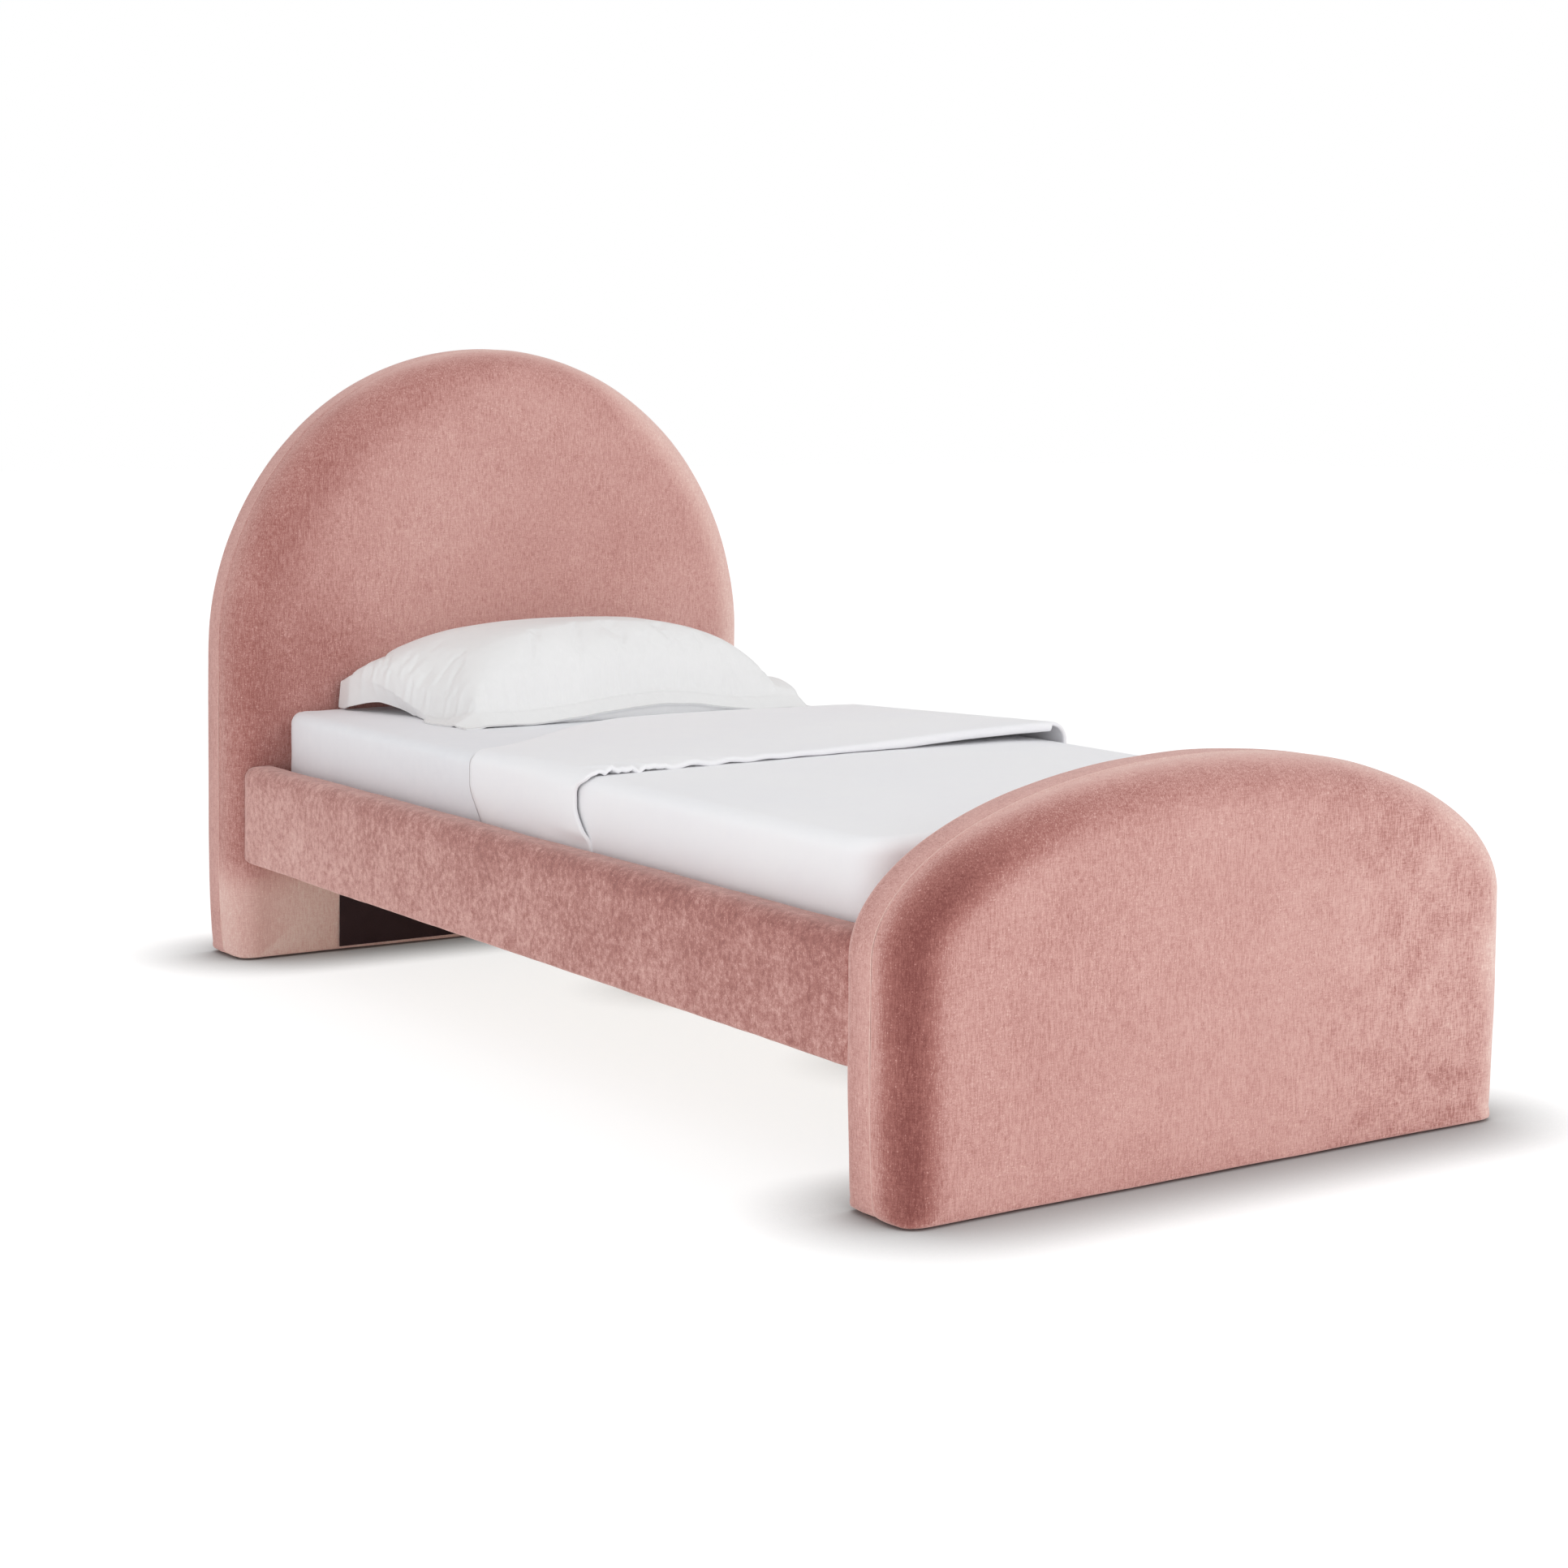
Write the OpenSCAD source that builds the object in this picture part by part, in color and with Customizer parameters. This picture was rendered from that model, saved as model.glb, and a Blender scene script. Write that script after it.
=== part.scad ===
// Upholstered panel bed: a tall arched headboard, a low arched footboard and two padded side rails
// +X is to the right seen from the foot, +Y runs to the head and +Z is up
// The origin is on the floor in the middle

/* [Mattress and bedding] */
// Width of the mattress
mattress_w = 991; // [900:1:1100]
// Length of the mattress
mattress_len = 1905; // [1850:1:2030]
// Thickness of the mattress
mattress_t = 205; // [150:1:240]
// Radius of the long edges and end edges of the mattress
mattress_edge_r = 20; // [12:1:30]
// Radius of the upright corners of the mattress
mattress_corner_r = 45; // [35:1:80]
// Thickness of the fitted sheet
sheet_t = 1; // [0.8:0.1:2]
// Width of the sheet hem that is turned under the mattress
sheet_hem = 60; // [30:1:120]
// Loft of the duvet on top of the mattress
duvet_loft = 10; // [6:1:24]
// Extra loft where the duvet is folded back over itself
fold_loft = 20; // [10:1:35]
// Extra height of the fold at its right end
fold_tilt = 18; // [0:1:24]
// Width of the folded-back band, from head to foot
fold_w = 665; // [500:1:720]
// Clearance between the pillow and the fold
pillow_to_fold = 45; // [20:1:120]
// How far the fold slides down towards the foot at its left end
fold_slant = 265; // [0:1:300]
// Height of the duvet's hanging edge above the slats
duvet_edge_up = 30; // [15:1:80]
// Length of the pillow cover with its flanges, across the bed
sham_len = 830; // [700:1:900]
// Depth of the pillow cover with its flanges, along the bed
sham_depth = 440; // [380:1:520]
// Height of the filled pillow
pillow_h = 165; // [110:1:200]
// Width of the flat flange around the pillow cover
flange_w = 46; // [30:1:70]
// Thickness of the pillow cover's flange
flange_t = 3; // [2:0.5:5]
// Offset of the pillow to the right of the middle
pillow_x = 40; // [0:1:50]

/* [Panels] */
// Height of the headboard
headboard_h = 1199; // [1100:1:1300]
// Height of the footboard
footboard_h = 605; // [540:1:700]
// Rise of the footboard's arch above its straight sides
footboard_rise = 247; // [220:1:280]
// Thickness of the headboard and the footboard
panel_t = 135; // [125:1:150]
// Radius of the padded edge round the show face
show_edge_r = 60; // [48:1:64]
// Radius of the padded edge round the rear face
rear_edge_r = 27; // [18:1:32]
// How far the panel's sides draw in at the floor
side_draw_in = 8; // [0:1:12]
// Height over which the sides draw in
draw_in_h = 250; // [150:5:300]
// How far the panels stand out past the side rails
panel_overhang = 21.5; // [10:0.5:40]
// Distance of the side seam from the show face
seam_from_face = 85; // [65:0.5:90]
// Foam on the show face
face_foam = 30; // [20:1:40]
// Foam round the edge
edge_foam = 20; // [14:1:24]
// Plywood under the show face
face_ply = 9; // [6:0.5:15]
// Plywood under the rear face
rear_ply = 5; // [3:0.5:9]
// Width of each post
post_w = 115; // [100:1:140]
// Width of the bent rim under the arch
rim_w = 38; // [25:1:50]
// Height of the crossbars
crossbar_h = 90; // [70:1:95]
// Width of velvet beside the lining on the bed side
lining_margin = 228; // [150:1:300]
// Height of the lining above the slats
lining_up = 20; // [0:1:60]
// Thickness of the velvet
velvet_t = 2; // [1.5:0.1:3]

/* [Side rails] */
// Gap between the mattress and each side rail
side_gap = 12.5; // [12:0.5:25]
// Gap between the mattress and the headboard
head_gap = 8; // [4:0.5:20]
// Gap between the mattress and the footboard
foot_gap = 77.6; // [50:0.1:100]
// Thickness of each side rail
rail_t = 70; // [62:1:90]
// Height of each side rail
rail_h = 190; // [180:1:220]
// Height of the rail's top above the floor
rail_top = 385; // [370:1:410]
// Radius of the rail's upper edges
rail_top_r = 25; // [15:1:30]
// Radius of the rail's lower edges
rail_low_r = 8; // [4:1:14]
// Thickness of the board inside each rail
rail_board_t = 38; // [25:1:44]
// Foam on top of the board
rail_top_foam = 25; // [10:1:30]

/* [Slat deck] */
// Height of the slats' top above the floor
slat_top = 280; // [265:1:300]
// Thickness of a slat
slat_t = 18; // [12:1:25]
// Width of a slat
slat_w = 70; // [50:1:95]
// Clearance between a slat's end and the rail
slat_end_gap = 3; // [1:0.5:6]
// Distance from each panel to the middle of the first slat
first_slat = 95.3; // [85:0.1:120]
// Width of the ledger that carries the slats
ledger_w = 30; // [24:1:34]
// Height of the ledger
ledger_h = 40; // [35:1:50]
// Distance from each panel to the ledger's end
ledger_end = 46; // [45:1:60]
// Width of the beam under the middle of the slats
beam_w = 45; // [40:1:60]
// Height of the beam
beam_h = 60; // [55:1:75]
// Distance of each leg of the beam from the middle of the bed
leg_y = 350; // [300:1:500]
// Thickness of the legs under the beam
leg_w = 45; // [40:1:50]
// Gap between a leg and the pad of its levelling foot
foot_travel_gap = 14; // [13:1:20]

/* [Hardware] */
// Radius of the frame bolts
bolt_r = 4; // [3:0.5:5]
// Length of the frame bolts under the head
bolt_len = 60; // [56:1:65]
// Distance between the two bolts of a bracket
bolt_gap = 30; // [26:1:40]
// Thickness of the steel brackets and washers
bracket_t = 3; // [2:0.5:5]
// Length of each leg of a corner bracket
bracket_leg = 40; // [36:1:44]
// Height of a corner bracket
bracket_h = 70; // [66:1:80]
// Radius of the wood screws
screw_r = 2.5; // [2:0.25:3]
// Outer radius of the threaded inserts
insert_r = 6; // [5.5:0.25:7]
// Length of the threaded inserts
insert_len = 24; // [18:1:26]
// Thickness of the glides under the panels
glide_t = 3; // [2:0.5:6]
// Radius of the glides
glide_r = 14; // [10:1:20]
// Thickness of the levelling foot's pad
pad_t = 10; // [8:1:14]
// Radius of the levelling foot's pad
pad_r = 20; // [16:1:24]

/* [Hidden] */
$fn = 64;

velvet = "#c8938c";
foam_yellow = "#e8dcae";
birch = "#d9bf93";
pine = "#d8b483";
lining_black = "#241819";
steel = "#9a9ca0";
black_plastic = "#202022";
linen_white = "#f4f2f7";

// Soft pieces of different bodies keep this distance
soft_gap = 0.3;
// A cut reaches this far past the face that it cuts
past = 1;
// Clearance of a bolt in its thread and of a shaft in a drilled hole
thread_gap = 0.05;
hole_gap = 0.5;

// Places along the bed
inner_len = mattress_len + head_gap + foot_gap;
inner_y = inner_len / 2;
mattress_y1 = inner_y - head_gap;
mattress_y0 = mattress_y1 - mattress_len;

// Places across the bed
rail_inner_x = mattress_w / 2 + side_gap;
rail_outer_x = rail_inner_x + rail_t;
half_w = rail_outer_x + panel_overhang;

// Heights
rail_bottom = rail_top - rail_h;
cover_bottom = glide_t;
timber_bottom = cover_bottom + velvet_t;
ledger_top = slat_top - slat_t;
ledger_mid = ledger_top - ledger_h / 2;
lining_top = slat_top + lining_up;
mattress_bottom = slat_top + soft_gap + sheet_t;
mattress_top = mattress_bottom + mattress_t;
sheet_top = mattress_top + sheet_t;

// Layers of a panel, counted from its show face
face_ply_y = velvet_t + face_foam;
timber_y0 = face_ply_y + face_ply;
rear_ply_y = panel_t - velvet_t - rear_ply;
timber_inset = velvet_t + edge_foam;

// An edge may only be as round as leaves the corner inside it covered, a corner inset a and b deep
function edge_limit(a, b) = a + b - velvet_t + sqrt(2 * (a - velvet_t) * (b - velvet_t));
show_r = min(show_edge_r, edge_limit(timber_inset - side_draw_in, face_ply_y));
rear_r = min(rear_edge_r, edge_limit(timber_inset - side_draw_in, velvet_t + rear_ply));
foot_edge = velvet_t + rear_ply;
flat_bottom = cover_bottom + foot_edge;
back_panel_inset = rear_r + side_draw_in;

// Arch outlines: [half width, height of the straight sides, rise of the arch]
head_arch = [half_w, headboard_h - half_w, half_w];
foot_arch = [half_w, footboard_h - footboard_rise, footboard_rise];
arch_steps = 16;
edge_steps = 5;
foot_steps = 3;
foot_r = timber_inset - side_draw_in;

// Posts, bolts and brackets
post_outer_x = half_w - timber_inset;
post_inner_x = post_outer_x - post_w;
washer_t = 1.6;
washer_r = 2 * bolt_r;
bolt_head_h = 5.3;
bolt_head_r = 1.6 * bolt_r;
bolt_x = rail_inner_x - bracket_leg / 2;
bolt_z = [ledger_mid - bolt_gap / 2, ledger_mid + bolt_gap / 2];
bolt_socket_r = 0.6 * bolt_r;
bolt_socket_depth = 3;
bracket_screw_len = 30;

// Slats and their screws
slat_count = 13;
slat_pitch = (inner_len - 2 * first_slat) / (slat_count - 1);
slat_half = rail_inner_x - slat_end_gap;
slat_screw_x = rail_inner_x - ledger_w / 2;
slat_screw_len = 40;
screw_head_r = 1.8 * screw_r;
screw_head_t = 2;
ledger_screw_len = 58;
ledger_screw_step = 2;

// Beam, hangers, legs and feet
beam_end_gap = 1;
beam_half = inner_y - bracket_t - beam_end_gap;
beam_bottom = ledger_top - beam_h;
hanger_wing = 25;
hanger_lip = 45;
hanger_h = 0.7 * beam_h;
hanger_screw_len = 60;
hanger_screw_x = (beam_w + hanger_wing + bracket_t) / 2;
hanger_screw_z = beam_bottom + hanger_h / 2;
tenon_r = 10;
tenon_len = 30;
leg_bottom = pad_t + foot_travel_gap;
foot_stud_hold = 26;
foot_stud_len = foot_travel_gap + foot_stud_hold;
foot_stud_room = 12;
pad_bevel = 3;

// Glides under each panel
glide_inset = 80;
glide_x = half_w - glide_inset;
glide_y = (timber_y0 + rear_ply_y) / 2;
glide_nail_r = 1.5;
glide_nail_len = 22;

// Cross-section of a padded edge: a straight slab that ends in two rounded corners
module edge_profile(r_in, r_out, y0, y1, r0, r1) {
    big = max(r0, r1, 0.01);
    lap = 1.2 * big;
    translate([r_in, y0])
        square([r_out - big - r_in, y1 - y0]);
    translate([r_out - lap, y0 + r0])
        square([lap, y1 - y0 - r0 - r1]);
    if (r0 > 0)
        translate([r_out - r0, y0 + r0])
            circle(r0);
    if (r1 > 0)
        translate([r_out - r1, y1 - r1])
            circle(r1);
    if (r0 < big)
        translate([r_out - lap, y0])
            square([lap - r0, 2 * r0 + past]);
    if (r1 < big)
        translate([r_out - lap, y1 - 2 * r1 - past])
            square([lap - r1, 2 * r1 + past]);
}

// Eased step from 0 to 1
function ease(t) = let (c = min(1, max(0, t))) c * c * (3 - 2 * c);
function reversed(list) = [for (i = [len(list) - 1 : -1 : 0]) list[i]];
function flipped(list) = [for (p = list) [-p[0], p[1]]];

// Point of an arch at angle t, drawn in by d along its normal; an arch is [half width, spring height, rise]
function arch_point(arch, t, d) = let (n = [arch[2] * cos(t), arch[0] * sin(t)])
    [arch[0] * cos(t), arch[1] + arch[2] * sin(t)] - d * n / norm(n);
function arch_curve(arch, d) = [for (i = [0 : arch_steps]) arch_point(arch, 90 * i / arch_steps, d)];

// Square-footed outline for boards and timber, from height z0
function board_outline(arch, d, z0) = let (right = concat([[arch[0] - d, z0]], arch_curve(arch, d)))
    concat(right, reversed(flipped(right)));

// Soft outline of the cover: rounded feet and sides drawn in a little near the floor
function side_x(arch, z) = arch[0] - side_draw_in * pow(max(0, 1 - (z - cover_bottom) / draw_in_h), 2);
function foot_points(arch, d) = [
    for (i = [0 : foot_steps])
        let (t = -90 + 90 * i / foot_steps)
        [side_x(arch, cover_bottom) - foot_r + (foot_r - d) * cos(t),
            cover_bottom + foot_r + (foot_r - d) * sin(t)]
];
side_heights = [0.3 * draw_in_h, 0.65 * draw_in_h, draw_in_h + cover_bottom];
function soft_half(arch, d) = concat(
    foot_points(arch, d),
    [for (z = side_heights) [side_x(arch, z) - d, z]],
    arch_curve(arch, d)
);

// Where the rounded edge meets the flat face, station by station; a foot keeps a small share of its edge
foot_share = 0.04;
function face_half(arch, e) = concat(
    [for (p = foot_points(arch, 0))
        let (c = [min(p[0], arch[0] - e), max(p[1], flat_bottom)])
        c + foot_share * (p - c)],
    [for (z = side_heights) [arch[0] - e, z]],
    arch_curve(arch, e)
);
function edge_depths(e, d) = concat(
    [for (i = [0 : foot_steps]) foot_edge + (e - foot_edge) * ease(i / foot_steps) - d],
    [for (i = [1 : len(side_heights) + arch_steps + 1]) e - d]
);

// Rounded edge of every station, from the face at y_face inwards
// way is 1 from the show face and -1 from the rear face
function edge_rings(arch, e, d, y_face, way) = let (
        half_p = soft_half(arch, d),
        half_q = face_half(arch, e),
        half_r = edge_depths(e, d),
        p = concat(half_p, reversed(flipped(half_p))),
        q = concat(half_q, reversed(flipped(half_q))),
        r = concat(half_r, reversed(half_r)),
        m = len(half_p)
    )
    [for (k = [0 : len(p) - 1])
        if (k != m)
            [for (j = [0 : edge_steps])
                let (t = 90 * j / edge_steps, c = q[k] + (p[k] - q[k]) * sin(t))
                [c[0], y_face + way * r[k] * (1 - cos(t)), c[1]]]];

// Closed solid through rings of points
// A fan of triangles closes it over the first points of the rings and over their last points
module ring_solid(rings, flip) {
    n = len(rings[0]);
    count = len(rings);
    mid_z = (cover_bottom + max([for (ring = rings) ring[0][2]])) / 2;
    points = concat(
        [for (ring = rings) each ring],
        [[0, rings[0][0][1], mid_z], [0, rings[0][n - 1][1], mid_z]]
    );
    faces = concat(
        [for (k = [0 : count - 1], i = [0 : n - 2])
            each let (a = k * n + i, b = ((k + 1) % count) * n + i)
            [[a, b, a + 1], [a + 1, b, b + 1]]],
        [for (k = [0 : count - 1])
            each let (a = k * n, b = ((k + 1) % count) * n, c = count * n)
            [[a, c, b], [a + n - 1, b + n - 1, c + 1]]]
    );
    polyhedron(points = points, faces = flip ? [for (f = faces) reversed(f)] : faces, convexity = 8);
}

// A board that stands upright across the bed: an outline of [x, z] points from y0, t thick
module upright_board(outline, y0, t) {
    translate([0, y0 + t, 0])
        rotate([90, 0, 0])
            linear_extrude(t)
                polygon(outline);
}

// Slab lying flat with rounded corners in plan and rounded upper and lower edges
module rounded_slab(x1, y0, y1, z0, z1, corner, low_r, top_r) {
    for (sx = [-1, 1])
        for (y = [y0 + corner, y1 - corner])
            translate([sx * (x1 - corner), y, 0])
                rotate_extrude()
                    edge_profile(0, corner, z0, z1, low_r, top_r);
    translate([0, y1 - corner, 0])
        rotate([90, 0, 0])
            linear_extrude(y1 - y0 - 2 * corner) {
                edge_profile(0, x1, z0, z1, low_r, top_r);
                mirror([1, 0])
                    edge_profile(0, x1, z0, z1, low_r, top_r);
            }
    translate([-(x1 - corner), (y0 + y1) / 2, 0])
        rotate([90, 0, 90])
            linear_extrude(2 * (x1 - corner)) {
                edge_profile(0, (y1 - y0) / 2, z0, z1, low_r, top_r);
                mirror([1, 0])
                    edge_profile(0, (y1 - y0) / 2, z0, z1, low_r, top_r);
            }
}

// Rod along +X, +Y or +Z from a starting point
module rod_x(p, r, len) {
    translate(p)
        rotate([0, 90, 0])
            cylinder(r = r, h = len);
}
module rod_y(p, r, len) {
    translate(p)
        rotate([-90, 0, 0])
            cylinder(r = r, h = len);
}
module rod_z(p, r, len) {
    translate(p)
        cylinder(r = r, h = len);
}

// Moves a panel from its own place, show face at y = 0, to its end of the bed
module at_headboard() {
    translate([0, inner_y, 0])
        children();
}
module at_footboard() {
    translate([0, -inner_y - panel_t, 0])
        children();
}

// Bolt holes of a panel; bed is 1 where the bed side is the show face and -1 where it is the rear face
module bolt_holes(bed, r) {
    start = bed > 0 ? -past : panel_t + past - bolt_len;
    for (sx = [-1, 1])
        for (z = bolt_z)
            rod_y([sx * bolt_x, start, z], r, bolt_len);
}
module insert_holes(bed) {
    start = bed > 0 ? face_ply_y : rear_ply_y - insert_len;
    for (sx = [-1, 1])
        for (z = bolt_z)
            rod_y([sx * bolt_x, start, z], insert_r, insert_len);
}

// The hanger's two screws go into the crossbar behind the middle of the panel
module hanger_screw_holes(bed, r) {
    start = bed > 0 ? -past : panel_t + past - hanger_screw_len;
    for (sx = [-1, 1])
        rod_y([sx * hanger_screw_x, start, hanger_screw_z], r, hanger_screw_len);
}
module lining_block(y0, depth) {
    x = half_w - lining_margin;
    translate([-x, y0, flat_bottom])
        cube([2 * x, depth, lining_top - flat_bottom]);
}
module glide_nail_holes() {
    for (x = [-glide_x, 0, glide_x])
        rod_z([x, glide_y, 0], glide_nail_r, glide_t + glide_nail_len);
}

// Show-face cover: velvet over the face and round the edge to the side seam
module front_cover(arch, bed) {
    outer = edge_rings(arch, show_r, 0, 0, 1);
    inner = edge_rings(arch, show_r, velvet_t, velvet_t, 1);
    rings = [for (k = [0 : len(outer) - 1])
        let (p = outer[k][edge_steps], q = inner[k][edge_steps])
        concat(inner[k], [[q[0], seam_from_face, q[2]], [p[0], seam_from_face, p[2]]], reversed(outer[k]))];
    difference() {
        ring_solid(rings, true);
        glide_nail_holes();
        if (bed > 0) {
            lining_block(-past, velvet_t + 2 * past);
            bolt_holes(bed, bolt_r + hole_gap);
        }
    }
}

// Rear cover: velvet over the rear face and round the edge to the side seam
module back_cover(arch, bed) {
    outer = edge_rings(arch, rear_r, 0, panel_t, -1);
    inner = edge_rings(arch, rear_r, velvet_t, panel_t - velvet_t, -1);
    rings = [for (k = [0 : len(outer) - 1])
        let (p = outer[k][edge_steps], q = inner[k][edge_steps])
        concat(outer[k], [[p[0], seam_from_face, p[2]], [q[0], seam_from_face, q[2]]], reversed(inner[k]))];
    difference() {
        ring_solid(rings, true);
        glide_nail_holes();
        if (bed < 0) {
            lining_block(panel_t - velvet_t - past, velvet_t + 2 * past);
            bolt_holes(bed, bolt_r + hole_gap);
        }
    }
}
module panel_foam(arch, bed) {
    front = edge_rings(arch, show_r, velvet_t, velvet_t, 1);
    back = edge_rings(arch, rear_r, velvet_t, panel_t - velvet_t, -1);
    difference() {
        ring_solid([for (k = [0 : len(front) - 1]) concat(front[k], reversed(back[k]))], false);
        upright_board(board_outline(arch, timber_inset, timber_bottom), face_ply_y, rear_ply_y - face_ply_y);
        upright_board(board_outline(arch, back_panel_inset, flat_bottom), rear_ply_y - past, 2 * panel_t);
        translate([timber_inset - half_w, face_ply_y, timber_bottom - past])
            cube([2 * (half_w - timber_inset), panel_t, flat_bottom - timber_bottom + past]);
        if (bed > 0) {
            bolt_holes(bed, bolt_r + hole_gap);
            hanger_screw_holes(bed, screw_r + hole_gap);
        }
    }
}
module panel_ply(outline, bed, y0, t) {
    difference() {
        upright_board(outline, y0, t);
        if ((bed > 0) == (y0 < timber_y0)) {
            insert_holes(bed);
            bolt_holes(bed, bolt_r + hole_gap);
            hanger_screw_holes(bed, screw_r);
        }
    }
}
module face_panel(arch, bed) {
    panel_ply(board_outline(arch, timber_inset, timber_bottom), bed, face_ply_y, face_ply);
}
module back_panel(arch, bed) {
    panel_ply(board_outline(arch, back_panel_inset, flat_bottom), bed, rear_ply_y, rear_ply);
}
module panel_posts(arch, bed) {
    difference() {
        for (sx = [-1, 1])
            translate([sx * (post_inner_x + post_w / 2) - post_w / 2, timber_y0, timber_bottom])
                cube([post_w, rear_ply_y - timber_y0, arch[1] - timber_bottom]);
        insert_holes(bed);
        bolt_holes(bed, bolt_r + hole_gap);
        glide_nail_holes();
    }
}

// Bars between the posts: at the floor, behind the slat deck and, in a tall panel, under the arch
module panel_crossbars(arch, bed) {
    deck_bar_z = hanger_screw_z - crossbar_h / 2;
    top_bar_z = arch[1] - crossbar_h;
    bar_z = concat([timber_bottom, deck_bar_z], top_bar_z > deck_bar_z + 2 * crossbar_h ? [top_bar_z] : []);
    difference() {
        for (z = bar_z)
            translate([-post_inner_x, timber_y0, z])
                cube([2 * post_inner_x, rear_ply_y - timber_y0, crossbar_h]);
        hanger_screw_holes(bed, screw_r);
        glide_nail_holes();
    }
}
module panel_rim(arch) {
    outer = arch_curve(arch, timber_inset);
    inner = arch_curve(arch, timber_inset + rim_w);
    rim = concat(outer, reversed(flipped(outer)), flipped(inner), reversed(inner));
    upright_board(rim, timber_y0, rear_ply_y - timber_y0);
}
module panel_lining(bed) {
    difference() {
        lining_block(bed > 0 ? 0 : panel_t - velvet_t, velvet_t);
        hanger_screw_holes(bed, screw_r + hole_gap);
    }
}
module panel_glides() {
    for (x = [-glide_x, 0, glide_x])
        translate([x, glide_y, 0]) {
            cylinder(r = glide_r, h = glide_t);
            cylinder(r = glide_nail_r, h = glide_t + glide_nail_len);
        }
}

module headboard_front_cover() { color(velvet) at_headboard() front_cover(head_arch, 1); }
module headboard_back_cover() { color(velvet) at_headboard() back_cover(head_arch, 1); }
module headboard_foam() { color(foam_yellow) at_headboard() panel_foam(head_arch, 1); }
module headboard_face_panel() { color(birch) at_headboard() face_panel(head_arch, 1); }
module headboard_back_panel() { color(birch) at_headboard() back_panel(head_arch, 1); }
module headboard_posts() { color(pine) at_headboard() panel_posts(head_arch, 1); }
module headboard_crossbars() { color(pine) at_headboard() panel_crossbars(head_arch, 1); }
module headboard_arch_rim() { color(birch) at_headboard() panel_rim(head_arch); }
module headboard_lining() { color(lining_black) at_headboard() panel_lining(1); }
module headboard_glides() { color(black_plastic) at_headboard() panel_glides(); }
module footboard_front_cover() { color(velvet) at_footboard() front_cover(foot_arch, -1); }
module footboard_back_cover() { color(velvet) at_footboard() back_cover(foot_arch, -1); }
module footboard_foam() { color(foam_yellow) at_footboard() panel_foam(foot_arch, -1); }
module footboard_face_panel() { color(birch) at_footboard() face_panel(foot_arch, -1); }
module footboard_back_panel() { color(birch) at_footboard() back_panel(foot_arch, -1); }
module footboard_posts() { color(pine) at_footboard() panel_posts(foot_arch, -1); }
module footboard_crossbars() { color(pine) at_footboard() panel_crossbars(foot_arch, -1); }
module footboard_arch_rim() { color(birch) at_footboard() panel_rim(foot_arch); }
module footboard_lining() { color(lining_black) at_footboard() panel_lining(-1); }
module footboard_glides() { color(black_plastic) at_footboard() panel_glides(); }

// Padded rail section, inset from its outline, as a bar along the bed on the right side
module rail_bar(inset, x0, x1, z0, z1, low_r, top_r, len) {
    mid = (x0 + x1) / 2;
    half = (x1 - x0) / 2 - inset;
    translate([mid, len / 2, 0])
        rotate([90, 0, 0])
            linear_extrude(len) {
                edge_profile(0, half, z0 + inset, z1 - inset, low_r, top_r);
                mirror([1, 0])
                    edge_profile(0, half, z0 + inset, z1 - inset, low_r, top_r);
            }
}
module rail_body(inset, len) {
    rail_bar(inset, rail_inner_x, rail_outer_x, rail_bottom, rail_top,
        rail_low_r - inset, rail_top_r - inset, len);
}
rail_board_x0 = rail_inner_x + velvet_t;
rail_board_z0 = rail_bottom + velvet_t;
rail_board_z1 = rail_top - velvet_t - rail_top_foam;
module rail_board_block() {
    translate([rail_board_x0, -inner_y, rail_board_z0])
        cube([rail_board_t, inner_len, rail_board_z1 - rail_board_z0]);
}

// Screws that hold the ledger, halfway between slats
ledger_screw_y = [
    for (i = [0 : ledger_screw_step : slat_count - 2])
        -inner_y + first_slat + (i + 0.5) * slat_pitch
];
module ledger_screw_rods(r, start, len) {
    for (y = ledger_screw_y)
        rod_x([start, y, ledger_mid], r, len);
}

// Two screws through each corner bracket into the rail board
module bracket_screw_rods(r, start, len) {
    for (sy = [-1, 1])
        for (z = bolt_z)
            rod_x([start, sy * (inner_y - bracket_leg / 2 - bracket_t), z], r, len);
}
module rail_cover() {
    difference() {
        rail_body(0, inner_len);
        rail_body(velvet_t, inner_len + 2 * past);
        ledger_screw_rods(screw_r + hole_gap, rail_inner_x - past, velvet_t + 2 * past);
        bracket_screw_rods(screw_r + hole_gap, rail_inner_x - past, velvet_t + 2 * past);
    }
}
module rail_foam() {
    difference() {
        rail_body(velvet_t, inner_len);
        translate([rail_board_x0 - past, -inner_y - past, rail_board_z0 - past])
            cube([rail_board_t + past, inner_len + 2 * past, rail_board_z1 - rail_board_z0 + past]);
    }
}
module rail_board() {
    difference() {
        intersection() {
            rail_board_block();
            rail_body(velvet_t, inner_len + 2 * past);
        }
        ledger_screw_rods(screw_r, rail_inner_x - ledger_w, ledger_screw_len);
        bracket_screw_rods(screw_r, rail_inner_x, bracket_screw_len);
    }
}
module ledger() {
    len = inner_len - 2 * ledger_end;
    difference() {
        translate([rail_inner_x - ledger_w, -len / 2, ledger_top - ledger_h])
            cube([ledger_w, len, ledger_h]);
        ledger_screw_rods(screw_r, rail_inner_x - ledger_w, ledger_screw_len);
        slat_screw_rods(1);
    }
}
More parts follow.
